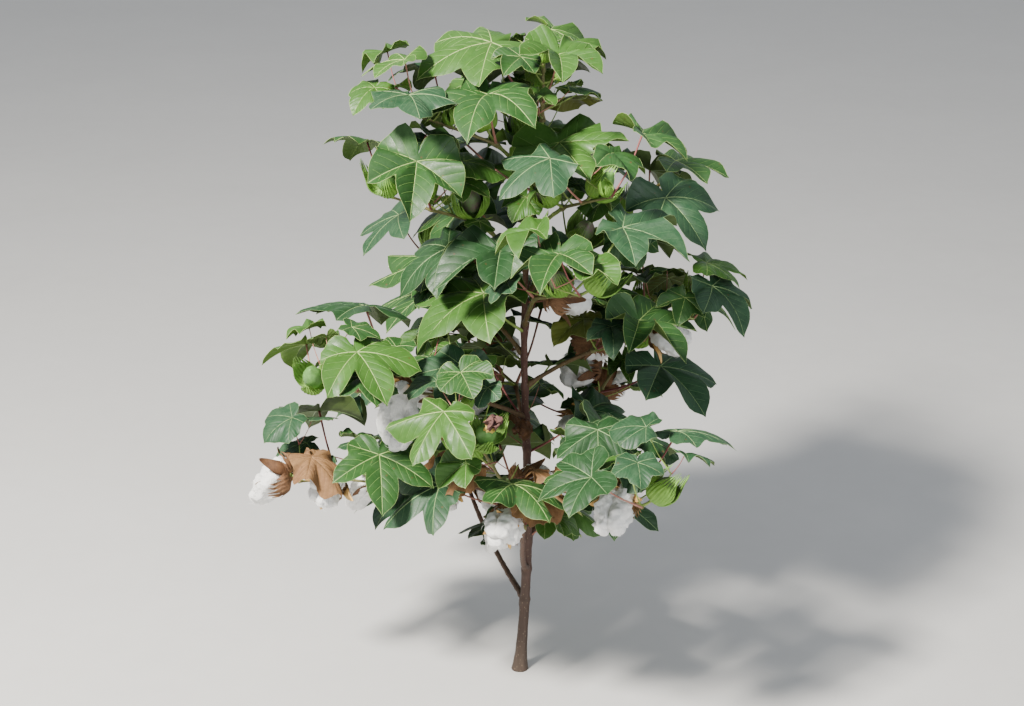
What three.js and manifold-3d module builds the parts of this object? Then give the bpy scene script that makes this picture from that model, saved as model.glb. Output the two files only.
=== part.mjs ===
// A whole cotton plant, rooted in the ground, as separate closed solids: an upright main stem, its
// vegetative and fruiting branches, and the masses of lobed leaves, bolls and buds that they carry.
// Millimetres, +Z up, with the origin at the middle of the flat cut under the main stem.
import * as THREE from "three";
import { mergeVertices } from "three/addons/utils/BufferGeometryUtils.js";
import Module from "manifold-3d";

const wasm = await Module();
wasm.setup();

// Main stem, millimetres
const STEM_HEIGHT = 850;
const FOOT_RADIUS = 8;
const STEM_TIP_RADIUS = 2.6;
const FLARE = { width: 5, height: 22 };
const STEM_BEND = { lean: 30, sway: 9, cross: 5.4 };
const STEM_RINGS = 20;
const RING_CROWDING = 1.5;

// Nodes of the main stem, counted from the ground up
const NODE_COUNT = 18;
const FIRST_NODE_HEIGHT = 62;
const NODE_CROWDING = 1.2;
const NODE_TURN = 135;
const VEGETATIVE_NODES = [1, 2, 3];
const FRUITING_NODES = { first: 4, last: 15, longest: 7 };
const FIRST_LEAF_NODE = 4;

// Branches: lengths in millimetres, elevations above the level and turns in degrees
const INTERNODE = { longest: 118, shortest: 80, shrink: 0.82 };
const BRANCH = { low: 20, high: 48, foot: 10, tip: -4, twig: 0.5, zigzag: 26, joints: 4, topJoints: 3 };
const SHOOT = { bough: 200, foot: 28, rise: 60, tip: 56, step: 46, joints: 6, wander: 40 };
const BOUGH_RADIUS = { foot: 3.4, tip: 2.7 };
const SHOOT_BOUGH_RADIUS = { foot: 4.6, tip: 3.1 };
const TWIG_RADIUS = { foot: 2.3, tip: 1.6 };
const SHOOT_TWIG_RADIUS = { foot: 2.8, tip: 1.6 };
const TIP_TWIG_RADIUS = { foot: 2.6, tip: 1.6 };
const KNOB = { radius: 3.6, gap: 0.32, length: 8.5, reach: 4.6 };
const SITE_STEP = 6;
const STEPS = { bough: 3, shootBough: 4, stalk: 2 };

// Sites on a twig's joint: turns from the twig's heading, and elevations of what sets out there
const BRANCH_SITES = { leaf: [60, 40], fruit: [-64, 30], side: [-18, 58] };
const SHOOT_SITES = { leaf: [0, 30], fruit: [74, 24], side: [150, 46] };
const TIP_SITES = { leaf: [0, 46], fruit: [160, 50] };
const STEM_SITE = { turn: -42, elevation: 36, drop: 9 };

// Leaves: a length runs from the petiole's tip to the tip of the middle lobe
const STEM_LEAF = { length: 138, lowest: 0.84, taperFrom: 0.75, taper: [1.12, 0.76] };
const BRANCH_LEAF = { length: 118, alongBranch: 0.74, upStem: 0.84 };
const SHOOT_LEAF = { length: 118, alongShoot: 0.66 };
const SIDE_LEAF = { length: 72, least: 0.85, most: 1.2 };
const SMALL_LEAF_LENGTH = 68;
const TIP_LEAVES = { count: 5, first: 84, last: 36, firstStep: 22, lastStep: 9, rise: 80 };
const TOP_LEAF = { length: 124, petiole: 128, azimuth: 215, elevation: 66 };
const PETIOLE = { share: 0.92, least: 0.65, most: 1.45, radiusShare: 0.017, taper: 0.85, lift: 24 };
const STEEPEST = 84;
const BLADE_THICKNESS_SHARE = 0.032;
const BLADE_MIDDLE_SHARE = 0.16;
const LOBE_TURN = { side: 55, basal: 108, base: 145.4 };
const SHOULDER = { height: 0.4, low: 0.24, turn: 20.5 };
const BASE_SHARE = 0.72;
const NOTCH_SHARE = 0.09;

// Fruit, millimetres
const OPEN_PROFILE = [[0, 5], [16, 19], [31, 25], [45, 15]];
const OPEN_TOP = 51;
const LOCKS = { count: 4, depth: 0.2, sag: 1.5, mouth: 16 };
const GREEN_PROFILE = [[0, 0], [19, 6], [25, 32], [15, 31], [11, 45], [0, 54]];
const WITHERED_PROFILE = [[0, 0], [12, 3], [17, 20], [9, 24], [12, 40], [0, 46]];
const BUD_PROFILE = [[0, 0], [9, 2], [10, 17], [0, 28]];
const PEDUNCLE = { length: 24, radius: 2.1, budShare: 0.65, openDrop: -26, lift: 24, growth: 0.05 };
const FRUIT_ROOM = { open: 24, green: 26, withered: 20, bud: 13, sagging: 19 };
const FRUIT_MIDDLE = { open: 26, green: 26, withered: 22, bud: 12 };

// Days since a fruit set: more by each node down the stem, less by each joint out along a branch
const AGE = { perStemNode: 3, perJoint: 6, open: 21, green: 8, withered: 5 };
const SHOOT_FRUIT = ["open", "open", "open", "green", "withered", "bud"];

// How far chance turns and lifts things in degrees, and changes lengths by a share
const CHANCE = {
  branch: { turn: 14, lift: 5, length: 0.08 },
  shoot: { turn: 10, length: 0.06 },
  twig: { turn: 12, lift: 10 },
  fruit: { turn: 10, lift: 8, widening: 0.4, sag: [-0.7, 1] },
  leaf: { turn: 14, lift: 8, widening: 0.2, length: 0.07, facing: 26, pitch: [2, 30], roll: 18 },
  blade: { fold: [-0.12, 0.6], droop: [0.08, 0.46] },
  large: { sinus: [0.42, 0.58], side: [0.8, 0.94], basal: [0.46, 0.64] },
  small: { sinus: [0.6, 0.76], side: [0.78, 0.9], basal: [0.5, 0.62] },
};

// Clear space, millimetres
const SEAT_GAP = 0.3;
const FINEST_DETAIL = 0.03;
const BLADE_ROOM = 4.2;
const LIMB_ROOM = 3;
const STALK_ROOM = 1;
const SAMPLE_STEP = 8;
const LOWEST_FOLIAGE = 34;
const CROWN_RADIUS = 395;
const MASS_REACH = 290;
const LEAF_TRIES = 34;
const FRUIT_TRIES = 12;
const TWIG_TRIES = 8;
const SHRINK_PER_TRY = 0.011;

// Colours and roughness
const STEM_COLOUR = 0x5d4236;
const BRANCH_COLOUR = 0x7d6b3f;
const LEAF_COLOUR = 0x35593f;
const BARK_ROUGHNESS = 0.8;
const LEAF_ROUGHNESS = 0.6;

// Faces round each kind of solid
const SIDES = { stem: 8, bough: 5, twig: 4, stalk: 3, green: 5, withered: 5, bud: 3 };

// The slot in front of the stem that leaves keep out of, so that the stem shows through the foliage:
// its half width, the stem's heights that it bares, and its rise for each millimetre forward.
const SLOT = { halfWidth: 30, low: 330, high: 540, rise: 0.466 };

const RADIAN = Math.PI / 180;
const HIGHEST_DRAW = 2147483647;
const DRAW_STEP = 16807;
const FIRST_SEED = 909;
let seed = FIRST_SEED;

// The next draw of the seeded rule, between low and high.
function draw(low, high) {
  seed = (seed * DRAW_STEP) % HIGHEST_DRAW;
  return low + (high - low) * (seed / HIGHEST_DRAW);
}

// A chance turn or lift either side of nothing, and a chance factor either side of one.
const swing = (amount) => draw(-amount, amount);
const factor = (amount) => draw(1 - amount, 1 + amount);

const mix = (from, to, share) => from + (to - from) * share;

const moved = (point, direction, distance) => point.clone().addScaledVector(direction, distance);

// A unit vector from an azimuth about +Z and an elevation above the level, in degrees.
function headingOf(azimuth, elevation) {
  const level = Math.cos(elevation * RADIAN);
  return new THREE.Vector3(
    level * Math.cos(azimuth * RADIAN),
    level * Math.sin(azimuth * RADIAN),
    Math.sin(elevation * RADIAN),
  );
}

// Points of a curve that sets out on one heading and ends on another; a heading is [azimuth, elevation].
function arc(start, from, to, length, steps) {
  const points = [start];
  for (let i = 0; i < steps; i++) {
    const share = (i + 0.5) / steps;
    const heading = headingOf(mix(from[0], to[0], share), mix(from[1], to[1], share));
    points.push(moved(points[i], heading, length / steps));
  }
  return points;
}

// The main stem's axis and radius at a height.
function stemAt(height) {
  const share = height / STEM_HEIGHT;
  return new THREE.Vector3(
    STEM_BEND.lean * share * share + STEM_BEND.sway * Math.sin(2 * Math.PI * share),
    STEM_BEND.cross * Math.sin(3 * Math.PI * share),
    height,
  );
}

function stemRadius(height) {
  const flare = FLARE.width * Math.exp(-height / FLARE.height);
  return mix(FOOT_RADIUS, STEM_TIP_RADIUS, height / STEM_HEIGHT) + flare;
}

function nodeHeight(node) {
  return mix(FIRST_NODE_HEIGHT, STEM_HEIGHT, 1 - (1 - node / NODE_COUNT) ** NODE_CROWDING);
}

// Occupied space, as balls along everything that has been placed
const balls = [];

function samplesAlong(points, radius) {
  const samples = [];
  for (let i = 1; i < points.length; i++) {
    const count = Math.ceil(points[i].distanceTo(points[i - 1]) / SAMPLE_STEP);
    for (let j = 1; j <= count; j++) {
      samples.push({ at: points[i - 1].clone().lerp(points[i], j / count), radius });
    }
  }
  return samples;
}

function isInSlot({ x, y, z }) {
  const bared = z + SLOT.rise * y;
  return y < 0 && bared > SLOT.low && bared < SLOT.high && Math.abs(x - stemAt(bared).x) < SLOT.halfWidth;
}

// Whether samples keep to the crown and to their mass's own space, and touch nothing placed before.
function isClear(samples, centre) {
  return samples.every(
    ({ at, radius }) =>
      at.z > LOWEST_FOLIAGE &&
      Math.hypot(at.x, at.y) < CROWN_RADIUS &&
      at.distanceTo(centre) < MASS_REACH &&
      !isInSlot(at) &&
      balls.every((ball) => ball.at.distanceTo(at) > ball.radius + radius),
  );
}

// Growth: limbs, masses, and the sites where fruit and leaves set out
const boughs = [];
const masses = new Map();
const fruitSites = [];
const leafSites = [];

function addMass(name, centre) {
  masses.set(name, { name, centre, knob: null, twig: null, leaves: [], fruit: [] });
  return masses.get(name);
}

// A mass grows from a knob, the swollen joint that sits just clear of its limb's tip.
function addKnob(mass, tip, along, twigRadius) {
  const ends = [KNOB.gap, KNOB.gap + KNOB.length].map((distance) => moved(tip, along, distance));
  mass.knob = { points: ends, foot: KNOB.radius, tip: KNOB.radius };
  mass.centre = moved(tip, along, KNOB.reach);
  mass.twig = { points: [mass.centre], ...twigRadius };
}

// A bough ends under the knob of its mass.
function addBough(name, mass, points, radius, twigRadius) {
  const last = points.length - 1;
  addKnob(mass, points[last], points[last].clone().sub(points[last - 1]).normalize(), twigRadius);
  boughs.push({ name, limb: { points, ...radius } });
  balls.push(...samplesAlong(points, radius.foot + LIMB_ROOM));
}

// Grows a twig's next internode at the first heading that is clear, or the last one tried.
function extendTwig(mass, azimuth, elevation, length) {
  const { points, foot } = mass.twig;
  const from = points[points.length - 1];
  for (let attempt = 0; ; attempt++) {
    const turn = azimuth + swing(CHANCE.twig.turn) * attempt;
    const to = moved(from, headingOf(turn, elevation + swing(CHANCE.twig.lift) * attempt), length);
    const samples = samplesAlong([from, to], foot + LIMB_ROOM);
    if (attempt < TWIG_TRIES && !isClear(samples.slice(2), mass.centre)) continue;
    points.push(to);
    balls.push(...samples);
    return;
  }
}

// The leaf, fruit and side leaf of a twig's last joint, spaced out down the internode below it.
function addSites(mass, heading, side, sites, size, kind) {
  const { points } = mass.twig;
  const last = points.length - 1;
  const at = points[last];
  const below = last > 0 ? points[last - 1].clone().sub(at).normalize() : new THREE.Vector3();
  const [leafTurn, leafLift] = sites.leaf;
  const [fruitTurn, fruitLift] = sites.fruit;
  leafSites.push({ mass, at, azimuth: heading + side * leafTurn, elevation: leafLift, size });
  const fruitAt = moved(at, below, SITE_STEP);
  fruitSites.push({ mass, at: fruitAt, azimuth: heading + side * fruitTurn, elevation: fruitLift, kind });
  if (!sites.side) return;
  const [turn, elevation] = sites.side;
  const small = SIDE_LEAF.length * draw(SIDE_LEAF.least, SIDE_LEAF.most);
  const sideAt = moved(at, below, 2 * SITE_STEP);
  leafSites.push({ mass, at: sideAt, azimuth: heading + side * turn, elevation, size: small });
}

function kindOfFruit(age) {
  if (age > AGE.open) return "open";
  if (age > AGE.green) return "green";
  return age > AGE.withered ? "withered" : "bud";
}

const labelOf = (node) => String(node).padStart(2, "0");

// One fruiting branch: a bare first internode, and past it a zigzag of shorter ones in its mass.
function growFruitingBranch(node) {
  const mass = addMass("fruiting_foliage_" + labelOf(node));
  const rise = (node - FRUITING_NODES.first) / (FRUITING_NODES.last - FRUITING_NODES.first);
  const azimuth = NODE_TURN * node + swing(CHANCE.branch.turn);
  const elevation = mix(BRANCH.low, BRANCH.high, rise) + swing(CHANCE.branch.lift);
  let length = mix(INTERNODE.longest, INTERNODE.shortest, rise) * factor(CHANCE.branch.length);
  const foot = stemAt(nodeHeight(node));
  const reach = length + stemRadius(foot.z);
  const start = [azimuth, elevation + BRANCH.foot];
  const points = arc(foot, start, [azimuth, elevation + BRANCH.tip], reach, STEPS.bough);
  addBough("fruiting_branch_" + labelOf(node), mass, points, BOUGH_RADIUS, TWIG_RADIUS);
  const largest = BRANCH_LEAF.length * mix(1, BRANCH_LEAF.upStem, rise);
  const joints = node > FRUITING_NODES.longest ? BRANCH.topJoints : BRANCH.joints;
  let heading = azimuth;
  let side = node % 2 ? 1 : -1;
  for (let joint = 0; joint < joints; joint++) {
    const age = AGE.perStemNode * (NODE_COUNT - node) - AGE.perJoint * joint;
    const size = largest * mix(1, BRANCH_LEAF.alongBranch, joint / (BRANCH.joints - 1));
    addSites(mass, heading, side, BRANCH_SITES, size, kindOfFruit(age));
    if (joint === joints - 1) break;
    length *= INTERNODE.shrink;
    heading -= side * BRANCH.zigzag;
    extendTwig(mass, heading, elevation * BRANCH.twig, length);
    side = -side;
  }
}

// One vegetative branch: a long bough that sweeps up, then an upright leafy shoot in its mass.
function growVegetativeBranch(node) {
  const mass = addMass("vegetative_foliage_" + node);
  const azimuth = NODE_TURN * node + swing(CHANCE.shoot.turn);
  const end = [azimuth + swing(CHANCE.shoot.turn), SHOOT.tip];
  const length = SHOOT.bough * factor(CHANCE.shoot.length);
  const points = arc(stemAt(nodeHeight(node)), [azimuth, SHOOT.foot], end, length, STEPS.shootBough);
  addBough("vegetative_branch_" + node, mass, points, SHOOT_BOUGH_RADIUS, SHOOT_TWIG_RADIUS);
  let heading = azimuth;
  for (let joint = 0; joint < SHOOT.joints; joint++) {
    const turn = azimuth + NODE_TURN * (joint + 1);
    const size = SHOOT_LEAF.length * mix(1, SHOOT_LEAF.alongShoot, joint / SHOOT.joints);
    addSites(mass, turn, 1, SHOOT_SITES, size, SHOOT_FRUIT[joint]);
    if (joint === SHOOT.joints - 1) break;
    heading += swing(SHOOT.wander);
    extendTwig(mass, heading, SHOOT.rise, SHOOT.step);
  }
}

// The growing tip: the stem's last soft internodes with young leaves, buds and the tall top leaf.
function growTip() {
  const mass = addMass("growing_tip");
  addKnob(mass, stemAt(STEM_HEIGHT), headingOf(0, 90), TIP_TWIG_RADIUS);
  const { azimuth, elevation, length } = TOP_LEAF;
  leafSites.push({ mass, at: mass.centre, azimuth, elevation, size: length, isTop: true });
  for (let joint = 0; joint < TIP_LEAVES.count; joint++) {
    const share = joint / (TIP_LEAVES.count - 1);
    const turn = NODE_TURN * (NODE_COUNT + joint);
    extendTwig(mass, turn, TIP_LEAVES.rise, mix(TIP_LEAVES.firstStep, TIP_LEAVES.lastStep, share));
    addSites(mass, turn, 1, TIP_SITES, mix(TIP_LEAVES.first, TIP_LEAVES.last, share), "bud");
  }
}

// Main-stem leaves: each is a mass of its own, on a long petiole just under its node's branch.
function siteStemLeaf(node) {
  const at = stemAt(nodeHeight(node) - STEM_SITE.drop);
  const mass = addMass("stem_leaf_" + labelOf(node), at);
  const share = node / NODE_COUNT;
  const ends = share > STEM_LEAF.taperFrom ? STEM_LEAF.taper : [STEM_LEAF.lowest, 1];
  const azimuth = NODE_TURN * node + STEM_SITE.turn;
  const size = STEM_LEAF.length * mix(...ends, share);
  leafSites.push({ mass, at, azimuth, elevation: STEM_SITE.elevation, size, isOnStem: true });
}

// A point on an open boll's middle line, which bends down past the burr by the boll's sag.
function onBoll(fruit, distance) {
  const past = Math.max(distance - LOCKS.mouth, 0);
  const down = fruit.sag * LOCKS.sag * past;
  return moved(moved(fruit.end, fruit.axis, distance - PEDUNCLE.radius), headingOf(0, -90), down);
}

// Places a fruit and its peduncle at the first try that is clear.
function placeFruit({ mass, at, azimuth, elevation, kind }) {
  const chance = CHANCE.fruit;
  const isOpen = kind === "open";
  const share = kind === "bud" ? PEDUNCLE.budShare : 1;
  const radius = PEDUNCLE.radius * share;
  for (let attempt = 0; attempt < FRUIT_TRIES; attempt++) {
    const turn = azimuth + swing(chance.turn) * (attempt + 1);
    const lift = elevation + swing(chance.lift) * (1 + chance.widening * attempt);
    const tipLift = lift + (isOpen ? PEDUNCLE.openDrop : PEDUNCLE.lift);
    const length = PEDUNCLE.length * share * (1 + PEDUNCLE.growth * attempt);
    const points = arc(at, [turn, lift], [turn, tipLift], length, STEPS.stalk);
    const sag = Math.max(0, draw(...chance.sag)) * (isOpen ? 1 : 0);
    const peduncle = { points, foot: radius, tip: radius };
    const fruit = { kind, sag, peduncle, end: points[STEPS.stalk], axis: headingOf(turn, tipLift) };
    fruit.turn = draw(0, 360);
    const samples = [{ at: moved(fruit.end, fruit.axis, FRUIT_MIDDLE[kind]), radius: FRUIT_ROOM[kind] }];
    if (sag > 0) samples.push({ at: onBoll(fruit, OPEN_TOP), radius: FRUIT_ROOM.sagging });
    const stalk = samplesAlong(points, radius + STALK_ROOM).slice(1);
    if (!isClear(samples, mass.centre) || !isClear(stalk, mass.centre)) continue;
    mass.fruit.push(fruit);
    balls.push(...samples, ...samplesAlong(points, radius + LIMB_ROOM));
    return;
  }
}

// Half of a leaf's outline as [angle, radius] pairs, from beside the middle lobe's tip to the base.
function halfOutline({ size, sinus, side, basal }) {
  return [
    [SHOULDER.turn, mix(sinus, 1, SHOULDER.height)],
    [LOBE_TURN.side / 2, sinus],
    [LOBE_TURN.side - SHOULDER.turn, mix(sinus, side, SHOULDER.height)],
    [LOBE_TURN.side, side],
    [LOBE_TURN.side + SHOULDER.turn, mix(sinus, side, SHOULDER.low)],
    [LOBE_TURN.basal, basal],
    [LOBE_TURN.base, basal * BASE_SHARE],
  ].map(([angle, share]) => [angle, share * size]);
}

// The whole outline round the petiole's tip, from the middle lobe's tip at angle 0.
function leafOutline(leaf) {
  const half = halfOutline(leaf);
  const mirrored = half.map(([angle, radius]) => [360 - angle, radius]).reverse();
  return [[0, leaf.size], ...half, [180, NOTCH_SHARE * leaf.size], ...mirrored];
}

// How far an angle lies from the nearest lobe's midrib, in degrees.
function turnFromMidrib(angle) {
  const turn = angle > 180 ? 360 - angle : angle;
  return Math.min(turn, Math.abs(turn - LOBE_TURN.side), Math.abs(turn - LOBE_TURN.basal));
}

// A point of the bent blade: each lobe folded along its midrib, the tips drooping.
function onBlade(leaf, angle, radius) {
  const rise = leaf.fold * radius * Math.sin(turnFromMidrib(angle) * RADIAN);
  const droop = (leaf.droop * radius * radius) / leaf.size;
  return leaf.end
    .clone()
    .addScaledVector(leaf.axis, radius * Math.cos(angle * RADIAN))
    .addScaledVector(leaf.across, radius * Math.sin(angle * RADIAN))
    .addScaledVector(leaf.up, rise - droop);
}

// Samples over a blade: rays to every corner of its outline and between them.
function bladeSamples(leaf) {
  const samples = [];
  const rim = leafOutline(leaf);
  rim.forEach(([angle, radius], i) => {
    const [nextAngle, nextRadius] = rim[i + 1] ?? [360, leaf.size];
    const rays = [[angle, radius], [(angle + nextAngle) / 2, (radius + nextRadius) / 2]];
    for (const [turn, reach] of rays) {
      const count = Math.ceil(reach / SAMPLE_STEP);
      for (let j = 1; j <= count; j++) {
        samples.push({ at: onBlade(leaf, turn, (reach * j) / count), radius: BLADE_ROOM });
      }
    }
  });
  return samples;
}

// A leaf's petiole for one try at a site: it sets out from the limb and bends up to the blade.
function shapePetiole(site, size, azimuth, spread) {
  const lift = Math.min(site.elevation + swing(CHANCE.leaf.lift) * spread, STEEPEST);
  const share = PETIOLE.share * draw(PETIOLE.least, PETIOLE.most);
  const bare = site.isTop ? TOP_LEAF.petiole : size * share;
  const length = bare + (site.isOnStem ? stemRadius(site.at.z) : 0);
  const tipLift = Math.min(lift + PETIOLE.lift, STEEPEST);
  const radius = size * PETIOLE.radiusShare;
  const points = arc(site.at, [azimuth, lift], [azimuth, tipLift], length, STEPS.stalk);
  return { points, foot: radius, tip: radius * PETIOLE.taper };
}

// A leaf's form and stance for one try at a site: later tries reach wider and are a little smaller.
function shapeLeaf(site, attempt) {
  const chance = CHANCE.leaf;
  const spread = 1 + chance.widening * attempt;
  const size = site.size * factor(chance.length) * (1 - SHRINK_PER_TRY * attempt);
  const azimuth = site.azimuth + swing(chance.turn) * spread;
  const petiole = shapePetiole(site, size, azimuth, spread);
  const facing = azimuth + swing(chance.facing);
  const axis = headingOf(facing, -draw(...chance.pitch));
  const level = headingOf(facing + 90, 0);
  const roll = swing(chance.roll) * RADIAN;
  const lifted = new THREE.Vector3().crossVectors(axis, level);
  const across = level.multiplyScalar(Math.cos(roll)).addScaledVector(lifted, Math.sin(roll));
  const lobes = size < SMALL_LEAF_LENGTH ? CHANCE.small : CHANCE.large;
  return {
    size,
    petiole,
    end: petiole.points[STEPS.stalk],
    axis,
    across,
    up: new THREE.Vector3().crossVectors(axis, across),
    fold: draw(...CHANCE.blade.fold),
    droop: draw(...CHANCE.blade.droop),
    sinus: draw(...lobes.sinus),
    side: draw(...lobes.side),
    basal: draw(...lobes.basal),
  };
}

// Places a leaf at the first try whose blade and petiole are both clear.
function placeLeaf(site) {
  const { centre } = site.mass;
  for (let attempt = 0; attempt < LEAF_TRIES; attempt++) {
    const leaf = shapeLeaf(site, attempt);
    const blade = bladeSamples(leaf);
    const { points, foot } = leaf.petiole;
    const stalk = samplesAlong(points, foot + STALK_ROOM).slice(1);
    if (!isClear(blade, centre) || !isClear(stalk, centre)) continue;
    site.mass.leaves.push(leaf);
    balls.push(...blade, ...samplesAlong(points, foot + LIMB_ROOM));
    return;
  }
}

// Solids
function solidOf(geometry) {
  const bare = geometry.clone();
  bare.deleteAttribute("normal");
  bare.deleteAttribute("uv");
  const merged = mergeVertices(bare);
  return new wasm.Manifold(
    new wasm.Mesh({
      numProp: 3,
      vertProperties: new Float32Array(merged.attributes.position.array),
      triVerts: new Uint32Array(merged.index.array),
    }),
  );
}

function geometryOf(solid) {
  const mesh = solid.getMesh();
  return new THREE.BufferGeometry()
    .setAttribute("position", new THREE.BufferAttribute(new Float32Array(mesh.vertProperties), 3))
    .setIndex(new THREE.BufferAttribute(new Uint32Array(mesh.triVerts), 1));
}

// A cylinder whose vertices go to place(share of the length, x, z), with x and z on the unit circle.
function reshapedCylinder(sides, rings, place) {
  const geometry = new THREE.CylinderGeometry(1, 1, 1, sides, rings);
  const position = geometry.attributes.position;
  for (let i = 0; i < position.count; i++) {
    const point = place(position.getY(i) + 0.5, position.getX(i), position.getZ(i));
    position.setXYZ(i, point.x, point.y, point.z);
  }
  return solidOf(geometry);
}

// A tapering limb along its points, grown all round by a margin where it cuts room for itself.
// Its rings are squared up on one world axis that the limb runs well across, so that it doesn't twist.
function limbSolid({ points, foot, tip }, sides, margin = 0) {
  const last = points.length - 1;
  const run = points[last].clone().sub(points[0]);
  const isUpright = run.z > Math.hypot(run.x, run.y);
  const steady = isUpright ? new THREE.Vector3(1, 0, 0) : new THREE.Vector3(0, 0, 1);
  const frames = points.map((at, i) => {
    const along = points[Math.min(i + 1, last)].clone().sub(points[Math.max(i - 1, 0)]).normalize();
    const across = new THREE.Vector3().crossVectors(steady, along).normalize();
    const over = new THREE.Vector3().crossVectors(across, along);
    const end = i === 0 ? -margin : i === last ? margin : 0;
    return { at: moved(at, along, end), across, over };
  });
  return reshapedCylinder(sides, last, (share, x, z) => {
    const { at, across, over } = frames[Math.round(share * last)];
    const radius = mix(foot, tip, share) + margin;
    return moved(moved(at, across, x * radius), over, z * radius);
  });
}

// The main stem: its rings stand level, closer together in the flare at its foot.
function stemSolid(margin = 0) {
  return reshapedCylinder(SIDES.stem, STEM_RINGS, (share, x, z) => {
    const height = STEM_HEIGHT * share ** RING_CROWDING;
    const radius = stemRadius(height) + margin;
    const at = stemAt(height);
    return at.set(at.x + radius * z, at.y + radius * x, at.z + (share === 1 ? margin : 0));
  });
}

// A blade: fans of faces above and below, from a thick middle to the outline's thin edge.
function bladeSolid(leaf) {
  const rim = leafOutline(leaf).map(([angle, radius]) => onBlade(leaf, angle, radius));
  const middle = onBlade(leaf, 0, leaf.size * BLADE_MIDDLE_SHARE);
  const half = (leaf.size * BLADE_THICKNESS_SHARE) / 2;
  const corners = [moved(middle, leaf.up, half), moved(middle, leaf.up, -half), ...rim];
  const faces = [];
  rim.forEach((_, i) => {
    const next = (i + 1) % rim.length;
    faces.push(0, i + 2, next + 2, 1, next + 2, i + 2);
  });
  return solidOf(new THREE.BufferGeometry().setFromPoints(corners).setIndex(faces));
}

function leafSolid(leaf) {
  const { points, foot, tip } = leaf.petiole;
  const last = points.length - 1;
  const along = points[last].clone().sub(points[last - 1]).normalize();
  const sunk = [...points.slice(0, last), moved(points[last], along, foot + tip)];
  return bladeSolid(leaf).add(limbSolid({ points: sunk, foot, tip }, SIDES.stalk));
}

// Turns a shape that stands on its own +Y axis to stand at a fruit's seat, along the fruit's axis.
function seated(geometry, fruit) {
  const turned = new THREE.Quaternion().setFromUnitVectors(new THREE.Vector3(0, 1, 0), fruit.axis);
  const { x, y, z } = fruit.end;
  return solidOf(geometry.rotateY(fruit.turn * RADIAN).applyQuaternion(turned).translate(x, y, z));
}

function latheSolid(profile, fruit) {
  const points = profile.map(([radius, height]) => new THREE.Vector2(radius, height - PEDUNCLE.radius));
  return seated(new THREE.LatheGeometry(points, SIDES[fruit.kind]), fruit);
}

// An open boll: a dry burr, and locks of lint that swell out of it and sag.
function openBollSolid(fruit) {
  const level = headingOf(fruit.turn, 0);
  const across = new THREE.Vector3().crossVectors(fruit.axis, level).normalize();
  const over = new THREE.Vector3().crossVectors(across, fruit.axis);
  const last = OPEN_PROFILE.length - 1;
  return reshapedCylinder(2 * LOCKS.count, last, (share, x, z) => {
    const isPole = Math.hypot(x, z) < 0.5;
    const [distance, radius] = OPEN_PROFILE[Math.round(share * last)];
    const isLint = distance > LOCKS.mouth;
    const furrow = isLint ? 1 + LOCKS.depth * Math.cos(LOCKS.count * Math.atan2(x, z)) : 1;
    const at = onBoll(fruit, isPole && share === 1 ? OPEN_TOP : distance);
    return moved(moved(at, across, x * radius * furrow), over, z * radius * furrow);
  });
}

function fruitSolid(fruit) {
  const profiles = { green: GREEN_PROFILE, withered: WITHERED_PROFILE, bud: BUD_PROFILE };
  const body = fruit.kind === "open" ? openBollSolid(fruit) : latheSolid(profiles[fruit.kind], fruit);
  return body.add(limbSolid(fruit.peduncle, SIDES.stalk));
}

// A mass: its knob, twig, leaves and fruit fused, cut clear of the limbs that it meets, with the slivers
// that the cuts leave taken out.
function massSolid(mass, limbs) {
  const pieces = [
    ...(mass.knob ? [mass.knob, mass.twig].map((limb) => limbSolid(limb, SIDES.twig)) : []),
    ...mass.fruit.map(fruitSolid),
    ...mass.leaves.map(leafSolid),
  ];
  const whole = limbs.reduce((rest, limb) => rest.subtract(limb), wasm.Manifold.union(pieces));
  const body = whole.decompose().reduce((best, next) => (next.volume() > best.volume() ? next : best));
  return body.simplify(FINEST_DETAIL);
}

// Growth runs from limbs to fruit to leaves, so that leaves give way, and from the top leaf down.
const stemLine = [...Array(STEM_RINGS + 1).keys()].map((ring) => stemAt((STEM_HEIGHT * ring) / STEM_RINGS));
balls.push(...samplesAlong(stemLine, FOOT_RADIUS));
VEGETATIVE_NODES.forEach(growVegetativeBranch);
for (let node = FRUITING_NODES.first; node <= FRUITING_NODES.last; node++) growFruitingBranch(node);
growTip();
for (let node = FIRST_LEAF_NODE; node < NODE_COUNT; node++) siteStemLeaf(node);
fruitSites.forEach(placeFruit);
leafSites.sort((a, b) => b.size * b.at.z - a.size * a.at.z).forEach(placeLeaf);

// The plant
const plant = new THREE.Group();

function addMesh(name, solid, color, roughness) {
  const mesh = new THREE.Mesh(
    geometryOf(solid),
    new THREE.MeshStandardMaterial({ color, roughness, metalness: 0 }),
  );
  mesh.name = name;
  plant.add(mesh);
}

const stemRoom = stemSolid(SEAT_GAP);
const boughRooms = boughs.map(({ limb }) => limbSolid(limb, SIDES.bough, SEAT_GAP));
addMesh("main_stem", stemSolid(), STEM_COLOUR, BARK_ROUGHNESS);
for (const { name, limb } of boughs) {
  addMesh(name, limbSolid(limb, SIDES.bough).subtract(stemRoom), BRANCH_COLOUR, BARK_ROUGHNESS);
}
for (const mass of masses.values()) {
  if (!mass.leaves.length) continue;
  addMesh(mass.name, massSolid(mass, [stemRoom, ...boughRooms]), LEAF_COLOUR, LEAF_ROUGHNESS);
}

export default plant;
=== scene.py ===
import math
from types import SimpleNamespace

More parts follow.
